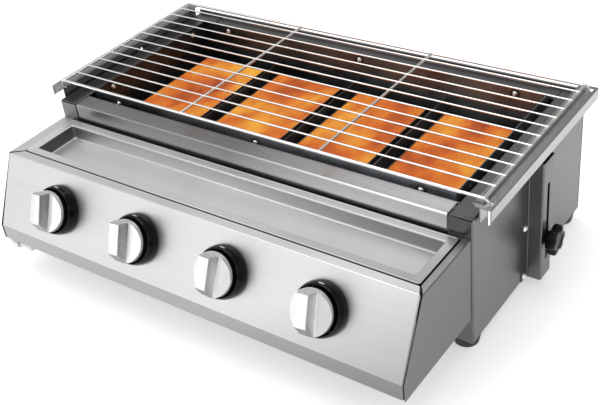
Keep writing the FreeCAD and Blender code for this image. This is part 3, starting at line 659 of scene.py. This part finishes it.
def body_sheets(paint):
    """Side panels with folded edges, back panel with its hem, and floor pan."""
    flange_edge, foot_edge = 296, 295  # along X
    flange_from, flange_to = -24, 210  # the turned-down edge stops short of the corners, along Y
    front_set, back_set = 1.2, 2.4
    crisp = 0.3
    for side, sign in SIDES.items():
        low, high = corners(f"side_panel_{side}")
        wall = sign * max(abs(low.x), abs(high.x))
        tab = sign * min(abs(low.x), abs(high.x))
        flange = sign * flange_edge

        def turned_down(u, v, top=high.z):
            return abs(u) < 300 and 100 < v < top - 3

        def front_end(u, v, low=low):
            return flange_from if turned_down(u, v) else low.y + front_set

        def back_end(u, v, high=high):
            return flange_to if turned_down(u, v) else high.y - back_set

        bm = bmesh.new()
        section = [(flange, high.z - LIP), (flange, high.z), (wall, high.z), (wall, low.z),
                   (sign * foot_edge, low.z)]
        folded(bm, section[::-sign], along_y, front_end, back_end, bend=crisp)
        front = [(flange, low.y), (wall, low.y), (wall, low.y + 2.2)]
        folded(bm, front[::sign], along_z, low.z + 0.2, high.z - 1.8)
        plate = [(tab, high.z), (flange - sign * 0.2, high.z)]
        folded(bm, plate[::-sign], along_y, high.y - 27.8, high.y - back_set)
        skin(f"side_panel_{side}", bm, paint)

    low, high = corners("back_panel")
    hem = [(high.y, low.z), (high.y, high.z), (high.y - 3, high.z), (high.y - 3, high.z - 7.2),
           (low.y, high.z - 7.2), (low.y, high.z - 18)]
    skin("back_panel", folded(bmesh.new(), hem, along_x, low.x + 0.2, high.x - 0.2), paint)

    low, high = corners("base_plate")
    pan = [(low.y, high.z), (low.y, low.z), (high.y, low.z), (high.y, high.z)]
    skin("base_plate", folded(bmesh.new(), pan, along_x, low.x, high.x), paint)


def front_rail(paint):
    """Rail folded from one strip, with an upright lug at each end that lies behind the panel."""
    low, high = corners("front_top_rail")
    half = 293.7
    bm = bmesh.new()
    section = [(high.y, high.z - LIP), (high.y, high.z), (low.y, high.z), (low.y, low.z)]
    folded(bm, section, along_x, -half, half)
    anchor = [(high.y - SHEET, high.z - 1.4), (high.y - SHEET, high.z - LIP)]
    for sign in SIDES.values():
        ends = sorted((sign * (half + 0.2), sign * high.x))
        folded(bm, anchor, along_x, ends[0], ends[1])
    skin("front_top_rail", bm, paint)


def control_housing(face_paint, trim_paint, left_paint, gap_shade):
    """Fascia folded from one sheet with its top strip; the sides fold over at the top too."""
    panel_low, _ = corners("control_panel")
    side_low, side_high = corners("housing_side_right")
    tray_low, tray_high = corners("front_tray")
    top = side_high.z
    edge_y = panel_low.y
    knee_z = panel_low.z + STRIP
    top_y = edge_y + FACE_RUN
    seam, gap = 1.5, 1.5  # open corner of the housing, and the space round the tray
    front_of_tray = tray_low.y - gap
    half = side_high.x - SHEET - seam

    def mitre(sign):
        """End of the top strip, which is cut towards the tray's corner."""
        corner = (tray_high.x if sign > 0 else -tray_low.x) + gap

        def end(u, v):
            share = min(max((u - top_y) / (front_of_tray - top_y), 0.0), 1.0)
            return sign * (half + share * (corner - half))

        return end

    bm = bmesh.new()
    path = [(front_of_tray, top), (top_y, top), (edge_y, knee_z), (edge_y, panel_low.z),
            (edge_y + 18, panel_low.z)]
    folded(bm, path, along_x, mitre(-1), mitre(1), bend=0.9, roll=1.9)
    piece("fascia", bm, face_paint, replaces=["control_panel"])

    for side, sign in SIDES.items():
        wall = sign * side_high.x
        inner = tray_high.x + gap if sign > 0 else tray_low.x - gap

        def front_end(u, v, wall=wall, inner=inner):
            if v > top - 2.2:
                share = min(max((wall - u) / (wall - inner), 0.0), 1.0)
                return top_y + share * (front_of_tray - top_y) + seam
            rise = min(max((top - v) / (top - knee_z), 0.0), 1.0)
            return top_y + rise * (edge_y - top_y) + 0.2

        section = [(inner, top), (wall, top), (wall, knee_z), (wall, side_low.z)]
        bm = folded(bmesh.new(), section[::-sign], along_y, front_end, side_high.y)
        # the left side takes the trim copy with the stronger painted highlight on top
        skin(f"housing_side_{side}", bm, trim_paint if sign > 0 else left_paint)

    bm = bmesh.new()
    back = [(side_high.y, top - LIP), (side_high.y, top), (tray_high.y + gap, top)]
    folded(bm, back, along_x, tray_low.x - gap + 0.4, tray_high.x + gap - 0.4)
    ledge_z = top - SHEET
    ledge = [(front_of_tray + 10, ledge_z), (front_of_tray, ledge_z)]
    folded(bm, ledge, along_x, tray_low.x, tray_high.x)
    skin("housing_top_frame", bm, trim_paint)

    # black tubes in the housing's open corners: painted shade of the seams
    for side, sign in SIDES.items():
        x = sign * (half + seam / 2)
        corner = (sign * (tray_high.x + gap + 0.2), front_of_tray + seam / 2 + 0.4, top - 0.75)
        points = [corner, (x, top_y + seam / 2 + 0.9, top - 0.9), (x, top_y + 1.9, top - 2.4),
                  (x, edge_y + 2.0, knee_z), (x, edge_y + 2.0, panel_low.z + 1.2)]
        piece(f"seam_gap_shade_{side}", tube(bmesh.new(), points, 0.6, 10), gap_shade)
    gap_shade_strips(gap_shade, top)


def gap_shade_strips(gap_shade, top):
    """Painted shade: a black strip round the tray, and a black bead along the body behind it, where the
    gaps fall dark.
    """
    low, high = corners("front_tray")
    bm = bmesh.new()
    loops = []
    for out, height in ((1.4, top - 1.7), (1.4, top - 0.7), (-3.0, top - 0.7), (-3.0, top - 1.7)):
        sides = (low.x - out, high.x + out), (low.y - out, high.y + out)
        outline = rounded_box(*sides, 3.0 + max(out, 0), 8)
        loops.append([Vector((x, y, height)) for x, y in outline])
    loft(bm, [*loops, loops[0]], "none")
    bmesh.ops.remove_doubles(bm, verts=bm.verts, dist=1e-4)
    piece("tray_gap_shade", bm, gap_shade)

    rail_low, _ = corners("front_top_rail")
    bead = [(x, rail_low.y - 0.9, top + 0.9) for x in (-295, -100, 100, 295)]
    piece("rear_gap_shade", tube(bmesh.new(), bead, 1.25, 10), gap_shade)


def front_tray(paint):
    """Pressed pan: flat rim with a rolled edge, sloping walls and soft corners."""
    low, high = corners("front_tray")
    floor_z = low.z
    rim_z = high.z
    # (inset from the rim's edge, height, corner radius)
    top_side = [
        (0.0, rim_z - 1.0, 3.4), (0.2, rim_z - 0.3, 3.3), (0.8, rim_z, 3.0), (1.5, rim_z - 0.1, 3.0),
        (2.2, rim_z - 0.5, 3.0), (10.6, rim_z - 0.7, 3.0), (11.6, rim_z - 0.9, 3.2),
        (12.2, rim_z - 1.5, 3.4), (12.5, rim_z - 2.6, 3.6), (14.6, floor_z + 4.0, 4.4),
        (15.0, floor_z + 2.4, 4.8), (16.0, floor_z + 1.4, 5.2), (17.6, floor_z + 1.0, 5.6),
        (28.0, floor_z + 1.05, 6.0),
    ]
    under = [(max(inset - 0.9, 0.1), height - 1.0, radius + 0.5) for inset, height, radius in top_side]
    under = [(inset, max(height, floor_z), radius) for inset, height, radius in under]

    def loop(inset, height, radius):
        outline = rounded_box((low.x + inset, high.x - inset), (low.y + inset, high.y - inset), radius, 8)
        return [Vector((x, y, height)) for x, y in outline]

    bm = bmesh.new()
    loft(bm, [loop(*station) for station in [*reversed(under), *top_side]])
    skin("front_tray", bm, paint, "tray", angle=50)


WALL_X = 325  # outside of the side panels
BRACKET_SKIN = 1.2
HAT_HALF = 15  # half the width of the brackets' raised middle


def hat_brackets(paint):
    """Hat-section brackets with a long slot for the clamp's stud."""
    for side, sign in SIDES.items():
        low, high = corners(f"hat_bracket_{side}")
        base = sign * (WALL_X + BRACKET_SKIN)
        out = sign * max(abs(low.x), abs(high.x))
        middle = (low.y + high.y) / 2
        front, back = middle - HAT_HALF, middle + HAT_HALF
        section = [(base, low.y), (base, front), (out, front), (out, back), (base, back), (base, high.y)]
        bm = folded(bmesh.new(), section[::sign], along_z, low.z, high.z, BRACKET_SKIN)
        made = skin(f"hat_bracket_{side}", bm, paint)
        outline = rounded_box((middle - 3.3, middle + 3.3), (low.z + 26, low.z + 142), 3.29, 8)
        carve(made, [slab(outline, along_x, (out - sign * 6, out + sign * 6))])


def grate_rails(paint):
    """Rails: an angle with a lip, and a plate with a tab that runs down inside the bracket."""
    grate_low, grate_high = corners("grate")
    for side, sign in SIDES.items():
        low, high = corners(f"rail_{side}")
        out = sign * max(abs(low.x), abs(high.x))
        inner = sign * min(abs(low.x), abs(high.x))
        section = [(inner, high.z), (out, high.z), (out, high.z - 15)]
        bm = folded(bmesh.new(), section[::-sign], along_y, low.y, high.y, bend=0.7)
        made = skin(f"rail_{side}", bm, paint, f"lift_{side}")
        through = (high.z - 4, high.z + 4)
        slot_x = sorted((sign * 333.3, sign * 341.3))
        legs = (grate_low.y + WIRE, grate_high.y - WIRE)
        leg_slots = [rounded_box(slot_x, (leg - 4, leg + 4), 1.5, 4) for leg in legs]
        notch_x = sorted((inner - sign * 6, inner + sign * 4.5))
        notch = rounded_box(notch_x, (low.y - 6, low.y + 4.5), 3.2, 5)
        carve(made, [slab(outline, along_z, through) for outline in (*leg_slots, notch)])

        plate = bmesh.new()
        face = sign * (WALL_X + 2.5)
        middle = sum(corner.y for corner in corners(f"hat_bracket_{side}")) / 2
        top = high.z - SHEET - 0.05
        shelf = low.z + 141
        apron = shelf - 10  # covers the gap over the side panel
        tab, clear = 12, HAT_HALF + 2  # half widths of the tab and of the space round the bracket
        front, back = low.y + 5, high.y - 1.5
        outline = [(front, top), (front, apron), (middle - clear, apron), (middle - clear, shelf),
                   (middle - tab, shelf), (middle - tab, low.z), (middle + tab, low.z),
                   (middle + tab, shelf), (middle + clear, shelf), (middle + clear, apron),
                   (back, apron), (back, top)]
        outline = fillet([outline[-1], *outline, outline[0]], lambda left: 2.0, 4)[1:-1]
        depths = ((0, 0.3), (0.3, 0.0), (0.9, 0.0), (1.2, 0.3))
        loops = []
        for depth, inset in depths:
            loops.append([
                Vector((face + sign * depth, p.x - math.copysign(inset, p.x - middle), p.y))
                for p in outline
            ])
        loft(plate, loops)
        piece(f"rail_{side}_plate", plate, paint, body=f"lift_{side}")


# ---------------------------------------------------------------- knobs

LEAN = (-5.0, -5.0, 0.0, -5.0)  # how far each grip stands from straight up the slope, in degrees


def face_frame(number, lean=0.0):
    """Place function of one knob: x to the right, y up the slope, height along the normal."""
    low, high = corners(f"knob_bezel_{number}")
    panel = corners("control_panel")[0]
    normal = Vector((0, -FACE_RISE, FACE_RUN)).normalized()
    upward = Vector((0, FACE_RUN, FACE_RISE)).normalized()
    turn = Matrix.Rotation(math.radians(-lean), 3, normal)
    foot = Vector(((low.x + high.x) / 2, panel.y + FACE_RUN / 2, panel.z + STRIP + FACE_RISE / 2))
    return seated(foot, turn @ X, turn @ upward, normal)


def knobs(gloss, black, silver, mark):
    for number in BURNERS:
        place = face_frame(number)

        ring = [(12, 0.15), (33.3, 0.15), (33.3, 4), (32.9, 8.4), (31.4, 13.4), (30.1, 15.4), (28.8, 15.2),
                (28.6, 11), (28.4, 2.5), (12, 2.5)]
        bm = lathe(bmesh.new(), ring, place, 96, 0.8)
        piece(f"knob_bezel_{number}_moulding", bm, gloss,
              replaces=[f"knob_bezel_{number}"])

        bm = bmesh.new()
        tick = rounded_box((-3.6, 3.6), (0.9, 2.7), 0.6, 4)
        brow = (31.4, 13.4)  # the bezel's edge where its slope begins, as (radius, height)
        slope = (0.288, 0.958)  # sine and cosine of the slope's lean

        def on_slope(along, down, depth, place=place, brow=brow, slope=slope):
            radius = brow[0] + slope[0] * down + slope[1] * depth
            angle = math.pi / 2 - along / radius
            height = brow[1] - slope[1] * down + slope[0] * depth
            return place(radius * math.cos(angle), radius * math.sin(angle), height)

        loft(bm, [[on_slope(along, down, depth) for along, down in tick] for depth in (-0.5, 0.2)])
        piece(f"knob_index_{number}", bm, mark)

        cup = [(4.1, 6.5), (9, 6.5), (9, 17.2), (24.8, 17.2), (24.8, 6.5), (26.8, 6.5), (26.8, 19.4),
               (26.0, 20.15), (4.1, 20.1)]
        bm = lathe(bmesh.new(), cup, place, 72, 0.5)
        piece(f"knob_skirt_{number}_moulding", bm, black, body=f"knob_{number}",
              replaces=[f"knob_skirt_{number}"])

        knob_cap(number, face_frame(number, LEAN[number - 1]), silver)


def knob_cap(number, place, silver):
    """Disc with a bar grip left standing between two scalloped flats that fall to the rim."""
    bm = bmesh.new()
    rim, back, front, crest = 27.6, 20.22, 24.5, 45.0  # rim radius, then heights
    flat, shoulder = 7.2, 8.0  # half widths of the grip's top, without and with its rounded edge
    crown, drop = 0.25, 1.6  # how far the top and its rounded edge fall
    ridge, ridge_height = 10.9, 28.6  # foot of the grip's scalloped side
    scallop = 14.55
    upper_end, lower_end = 26.0, 14.0
    soft = 0.7

    def flank(x):
        """Height of the knob's face at a distance from the grip's middle line."""
        x = abs(x)
        if x < flat:
            return crest - crown * (x / flat) ** 2
        if x < shoulder:
            return crest - crown - drop * ((x - flat) / (shoulder - flat)) ** 2
        if x < ridge:
            return ridge_height + scallop * (1 - (x - shoulder) / (ridge - shoulder)) ** 2.4
        return ridge_height - (ridge_height - front) * (x - ridge) / (rim - 0.8 - ridge)

    def height(x, y):
        face = flank(x)
        end = crest + 1
        if y < -lower_end:
            end = crest - (-y - lower_end) * (crest - front - 1.5) / (rim - 0.9 - lower_end)
        elif y > upper_end - 1.2:
            end = crest - (y - upper_end + 1.2) * 9.0
        low = min(face, end)
        if abs(face - end) < soft:
            low -= (soft - abs(face - end)) ** 2 / (4 * soft)
        return max(low, front)

    fine = (flat, 7.35, 7.6, 7.8, shoulder, 8.25, 8.75, 9.25, 9.75, 10.75, ridge, 11.2, rim - 0.35)
    columns = sorted({x / 2 for x in range(-54, 55)} | {s * round(x, 3) for s in (-1, 1) for x in fine})
    rows = 64
    grid = []
    for x in columns:
        half = max(math.sqrt(max((rim - 0.3) ** 2 - x * x, 0.0)), 0.5)
        ys = [-half * math.cos(math.pi * row / rows) for row in range(rows + 1)]
        grid.append([bm.verts.new(place(x, y, height(x, y))) for y in ys])
    for left, right in zip(grid, grid[1:]):
        for row in range(rows):
            bm.faces.new((left[row], right[row], right[row + 1], left[row + 1]))
    edge = [line[0] for line in grid] + grid[-1][1:] + [line[-1] for line in reversed(grid[:-1])]
    edge += list(reversed(grid[0][1:-1]))
    count = len(edge)
    middle = place(0, 0, 0)
    normal = (place(0, 0, 1) - middle).normalized()
    rings = [edge]
    for out, level in ((0.12, -0.2), (0.3, -0.8), (0.3, back + 0.5 - front), (0.0, back - front)):
        ring = []
        for vert in edge:
            radial = vert.co - middle
            rise = radial.dot(normal)
            outward = (radial - normal * rise).normalized()
            base = min(rise, front) if level <= -0.8 or rise <= front + 0.4 else rise
            ring.append(bm.verts.new(middle + outward * (rim - 0.3 + out) + normal * (base + level)))
        rings.append(ring)
    for upper, lower in zip(rings, rings[1:]):
        for index in range(count):
            after = (index + 1) % count
            bm.faces.new((upper[index], upper[after], lower[after], lower[index]))
    bm.faces.new(rings[-1])
    piece(f"knob_cap_{number}_grip", bm, silver, body=f"knob_{number}",
          replaces=[f"knob_cap_{number}"], angle=24)


def star_knobs(black, steel):
    """Six-lobed clamping knobs with a dished face."""
    for side, sign in SIDES.items():
        low, high = corners(f"star_knob_{side}")
        root = sign * min(abs(low.x), abs(high.x))
        length = high.x - low.x
        place = seated(Vector((root, (low.y + high.y) / 2, (low.z + high.z) / 2)), Y, Z, X * sign)

        # (height, mean radius, lobe depth)
        stations = [(0.0, 8.0, 0.0), (0.3, 8.8, 0.0), (3.6, 9.2, 0.0), (4.2, 12.0, 0.6), (4.8, 15.6, 1.9),
                    (6.0, 17.0, 2.6), (9.0, 17.5, 2.8), (length - 2.6, 17.2, 2.7),
                    (length - 1.0, 16.3, 2.4), (length - 0.2, 14.8, 1.8), (length, 12.6, 1.0),
                    (length - 0.3, 10.2, 0.3),
                    (length - 1.4, 9.4, 0.0), (length - 1.6, 4.0, 0.0)]
        bm = bmesh.new()
        count = 120
        loops = []
        for height, mean, lobe in stations:
            loop = []
            for index in range(count):
                angle = math.tau * index / count
                wave = math.cos(6 * angle)
                radius = mean + lobe * (wave if wave > 0 else wave * 1.15)
                loop.append(place(radius * math.cos(angle), radius * math.sin(angle), height))
            loops.append(loop)
        loft(bm, loops)
        piece(f"star_knob_{side}_moulding", bm, black, body=f"clamp_{side}",
              replaces=[f"star_knob_{side}"], angle=50)
        dress(f"clamp_stud_{side}", steel)


# ---------------------------------------------------------------- grate, burners, small parts

def wire_grate(paint):
    """Welded grate: bent end bars, side and cross wires, thin bars with a bead at each crossing."""
    low, high = corners("grate")
    thick, thin = WIRE, 1.25
    leg_x, half = 335.5, 329.7  # middle lines of the legs and of the side wires
    level = high.z - 2 * thin + 0.6 - thick
    front, back = low.y + thick, high.y - thick
    radius = leg_x - half
    bm = bmesh.new()
    bends = [math.radians(a) for a in range(0, 91, 15)]
    arc = [(half + radius * math.sin(a), level - radius * (1 - math.cos(a))) for a in bends]
    for y in (front, back):
        right = [(x, y, z) for x, z in arc]
        left = [(-x, y, z) for x, z in reversed(arc)]
        tube(bm, [(-leg_x, y, low.z + 1), *left, *right, (leg_x, y, low.z + 1)], thick, 16)
    lengthwise = (-half, -110, 110, half)
    for x in lengthwise:
        tube(bm, [(x, front - 1.0, level), (x, back + 1.0, level)], thick, 16)
        for y in (front, back):
            blob(bm, Vector((x, y, level + 0.4)), (2.9, 2.5, 2.1))
    count = 11
    thin_level = level + thick + thin - 0.6
    for number in range(1, count + 1):
        y = front + number * (back - front) / (count + 1)
        sag = 0.12 * noise.noise(Vector((number * 1.7, 0.3, 0.0)))
        xs = (-half - 3, -half, -110, 0, 110, half, half + 3)
        tube(bm, [(x, y + (sag if abs(x) < 300 else 0), thin_level) for x in xs], thin, 12)
        for x in lengthwise:
            blob(bm, Vector((x, y, thin_level - 0.7)), (2.0, 1.7, 1.1))
    piece("grate_wires", bm, paint, body="grate", replaces=["grate"], angle=60)


def ceramic_faces(paint):
    """Tiles with an embossed face of small raised cells round a plain border."""
    cell, border, dent, border_dent = 6.0, 2.0, 1.1, 0.3

    def spaced(start, end):
        """Both ends of a tile, and the half cells that fit between its borders."""
        count = int((end - start - 2 * border) // cell)
        first = (start + end - count * cell) / 2
        return [start, *[first + i * cell / 2 for i in range(2 * count + 1)], end]

    for number in BURNERS:
        low, high = corners(f"ceramic_tiles_{number}")
        middle = (low.y + high.y) / 2
        bm = bmesh.new()
        for y0, y1 in ((low.y, middle - 0.3), (middle + 0.3, high.y)):
            xs, ys = spaced(low.x, high.x), spaced(y0, y1)
            grid = []
            for j, y in enumerate(ys):
                row = []
                for i, x in enumerate(xs):
                    inside = 0 < i < len(xs) - 1 and 0 < j < len(ys) - 1
                    raised = inside and i % 2 == 0 and j % 2 == 0
                    fall = 0 if raised else dent if inside else border_dent
                    row.append(bm.verts.new((x, y, high.z - fall)))
                grid.append(row)
            for j in range(len(ys) - 1):
                for i in range(len(xs) - 1):
                    bm.faces.new((grid[j][i], grid[j][i + 1], grid[j + 1][i + 1], grid[j + 1][i]))
            rim = [*grid[0], *[row[-1] for row in grid[1:]], *reversed(grid[-1][:-1]),
                   *[row[0] for row in reversed(grid[1:-1])]]
            lower = [bm.verts.new((v.co.x, v.co.y, low.z)) for v in rim]
            for index in range(len(rim)):
                after = (index + 1) % len(rim)
                bm.faces.new((rim[index], rim[after], lower[after], lower[index]))
            bm.faces.new(lower)
        piece(f"ceramic_tiles_{number}_face", bm, paint,
              replaces=[f"ceramic_tiles_{number}"], angle=60)


def screw_head(bm, seat, out, radius=4.6, height=2.6):
    """Domed head with a cross recess."""
    arm_width, arm_length, arm_depth = 0.55, 2.5, 1.1
    out = Vector(out)
    across = out.orthogonal().normalized()
    up = out.cross(across)
    rings, sides = 9, 48
    loops = []
    for ring in range(rings + 1):
        share = 1 - ring / rings * 0.98
        loop = []
        for index in range(sides):
            angle = math.tau * index / sides
            x, y = radius * share * math.cos(angle), radius * share * math.sin(angle)
            dome = height * (1 - share ** 2.4)
            arm = min(abs(x), abs(y)) < arm_width and max(abs(x), abs(y)) < arm_length
            loop.append(seat + across * x + up * y + out * (dome - (arm_depth if arm else 0.0)))
        loops.append(loop)
    skirt = [point - out * 0.6 for point in loops[0]]
    loft(bm, [skirt, *loops])


def screws(steel, washer):
    """Bracket screws with bright domed heads, and firebox bolts on dark washers."""
    bm = bmesh.new()
    for side, sign in SIDES.items():
        low, high = corners(f"hat_bracket_{side}")
        for y in (low.y + 7.5, high.y - 7.5):
            for step in range(3):
                seat = Vector((sign * (WALL_X + BRACKET_SKIN), y, low.z + 5.6 + 75.6 * step))
                screw_head(bm, seat, (sign, 0, 0), height=2.5)
    piece("bracket_screw_heads", bm, steel, replaces=["bracket_screws"])

    heads, rings = bmesh.new(), bmesh.new()
    washer_ring = [(4.0, 0.05), (7.0, 0.05), (7.0, 0.9), (4.0, 1.1)]
    front_y = corners("firebox_front_wall")[0].y
    back_y = corners("firebox_back_wall")[0].y
    side_x = corners("firebox_right_wall")[0].x
    level = corners("firebox_bolts")[0].z + 4.5
    spots = [(Vector((x, y, level)), Vector((0, -1, 0))) for x in (-242, 0, 242) for y in (front_y, back_y)]
    side_y = corners("side_panel_right")[0].y
    for sign in SIDES.values():
        inward = Vector((-sign, 0, 0))
        spots += [(Vector((sign * side_x, side_y + along, level)), inward) for along in (68, 249)]
    for seat, out in spots:
        across = out.orthogonal().normalized()
        place = seated(seat, across, out.cross(across), out)
        absorb(rings, lathe(bmesh.new(), washer_ring, place, 40, 0.25))
        screw_head(heads, seat + out * 0.3, out, 4.5, 2.5)
    piece("firebox_bolt_heads", heads, steel, replaces=["firebox_bolts"])
    piece("firebox_bolt_washers", rings, washer)


def rubber_feet(paint, steel):
    """Round feet with a chamfered sole and a hollow for the screw."""
    low, high = corners("feet")
    bm = bmesh.new()
    wide = 18.0
    ring = [(2.4, 7), (6, 7), (6, 0.6), (7, 0), (wide - 3.6, 0), (wide - 2.5, 1.2),
            (wide - 0.1, high.z - 1.6), (wide - 0.1, high.z), (2.4, high.z)]
    for x in (low.x + wide, high.x - wide):
        for y in (low.y + wide, high.y - wide):
            absorb(bm, lathe(bmesh.new(), ring, seated(Vector((x, y, 0)), X, Y, Z), 48, 0.7))
    piece("rubber_feet", bm, paint, replaces=["feet"])
    dress("foot_screws", steel)


def dress_inner_parts(firebox, burner, brass, pipe, fitting):
    for wall in ("front", "back", "left", "right"):
        dress(f"firebox_{wall}_wall", firebox, 0.3)
    for node in ("burner_dividers", "burner_supports"):
        dress(node, firebox, 0.2)
    for number in BURNERS:
        dress(f"burner_box_{number}", burner, 0.3)
        dress(f"valve_stem_{number}", brass, 0.3)
        dress(f"valve_body_{number}", brass, 0.4)
    dress("injector_jets", brass, 0.3)
    dress("gas_manifold", pipe)
    dress("gas_inlet", fitting, 0.3)


# ---------------------------------------------------------------- everything

def build():
    make_camera()
    make_studio()
    # fascia: painted shade on the upright strip and towards the lower right end, painted highlight on the
    # top strip
    fascia = brushed(
        "fascia_steel", (0.61, 0.61, 0.615), 0.36, "X", 0.035, 0.03,
        facing=[("Z", [(0.5, 0.58), (0.6, 0.60), (0.68, 0.97), (0.8, 0.97), (0.98, 1.16)])],
        painted_light_ramp=((0.9, 0, -1.9), -0.08, 0.2, 0.54),
    )
    edging = (0.165, 0.16, 0.164)
    # trim: painted highlight on upward faces; the left copy has a stronger painted highlight on top
    trim = brushed("trim_steel", edging, 0.33, "X", 0.04, facing=[("Z", [(0.7, 1.0), (1.0, 2.1)])])
    left_trim = brushed("trim_left_steel", edging, 0.33, "Y", 0.04, facing=[("Z", [(0.7, 1), (1, 4.6)])])
    shell = brushed("shell_steel", (0.172, 0.168, 0.170), 0.33, "Y", 0.04)
    # tray: painted shade on walls facing +X and -Y, and painted shade towards the right end
    pan = brushed(
        "pan_steel", (0.82, 0.815, 0.815), 0.34, "X", 0.008, 0.015,
        facing=[("X", [(0.56, 1.0), (0.75, 0.34), (1.0, 0.16)]),
                ("Y", [(0.0, 0.6), (0.3, 0.7), (0.45, 1.0)])],
        painted_light_ramp=((1, 0, 0), 0.0, 0.3, 0.64),
    )
    bracket = brushed("bracket_steel", (0.155, 0.153, 0.155), 0.34, "Z")
    # rails: painted highlight on faces that point sideways, the lips
    rail = brushed(
        "rail_steel", (0.36, 0.355, 0.36), 0.3, "Y",
        facing=[("X", [(0.0, 1.2), (0.2, 1.0), (0.8, 1.0), (1.0, 1.2)])],
    )
    # front rail: painted highlight that brightens it towards the right end
    beam = brushed(
        "front_rail_steel", (0.285, 0.28, 0.285), 0.3, "X", 0.03,
        painted_light_ramp=((1, 0, 0), -0.02, 0.22, 2.7),
    )
    dark = moulded("soft_black", (0.004, 0.004, 0.0045), 0.3, pebble=0.08, shine=0.22)
    gloss = moulded("gloss_black", (0.003, 0.003, 0.0035), 0.09, sheen_marks=0.02, shine=0.16)
    # black for the strips of painted shade in the gaps
    gap_shade = moulded("gap_shade_black", (0.004, 0.004, 0.004), 0.6, pebble=0.2, shine=0.1)
    rubber = moulded("rubber_black", (0.015, 0.015, 0.015), 0.6, pebble=0.3)
    mark = moulded("index_paint", (0.55, 0.57, 0.58), 0.45)
    silver = satin_silver()
    screw_steel = brushed("screw_steel", (0.92, 0.92, 0.92), 0.2, "Z", 0.03)
    body_sheets(shell)
    front_rail(beam)
    control_housing(fascia, trim, left_trim, gap_shade)
    front_tray(pan)
    hat_brackets(bracket)
    grate_rails(rail)
    knobs(gloss, dark, silver, mark)
    star_knobs(dark, screw_steel)
    wire_grate(chrome_wire())
    ceramic_faces(glowing_ceramic())
    screws(screw_steel, rubber)
    rubber_feet(rubber, screw_steel)
    dress_inner_parts(
        # the firebox steel carries painted shade towards the left
        heated("firebox_steel", (0.16, 0.172, 0.185), painted_left_shade=0.7),
        heated("burner_steel", (0.15, 0.12, 0.10), 0.45),
        cast_brass(),
        brushed("pipe_steel", (0.32, 0.32, 0.33), 0.4, "X"),
        brushed("fitting_steel", (0.62, 0.62, 0.63), 0.35, "X"),
    )


build()
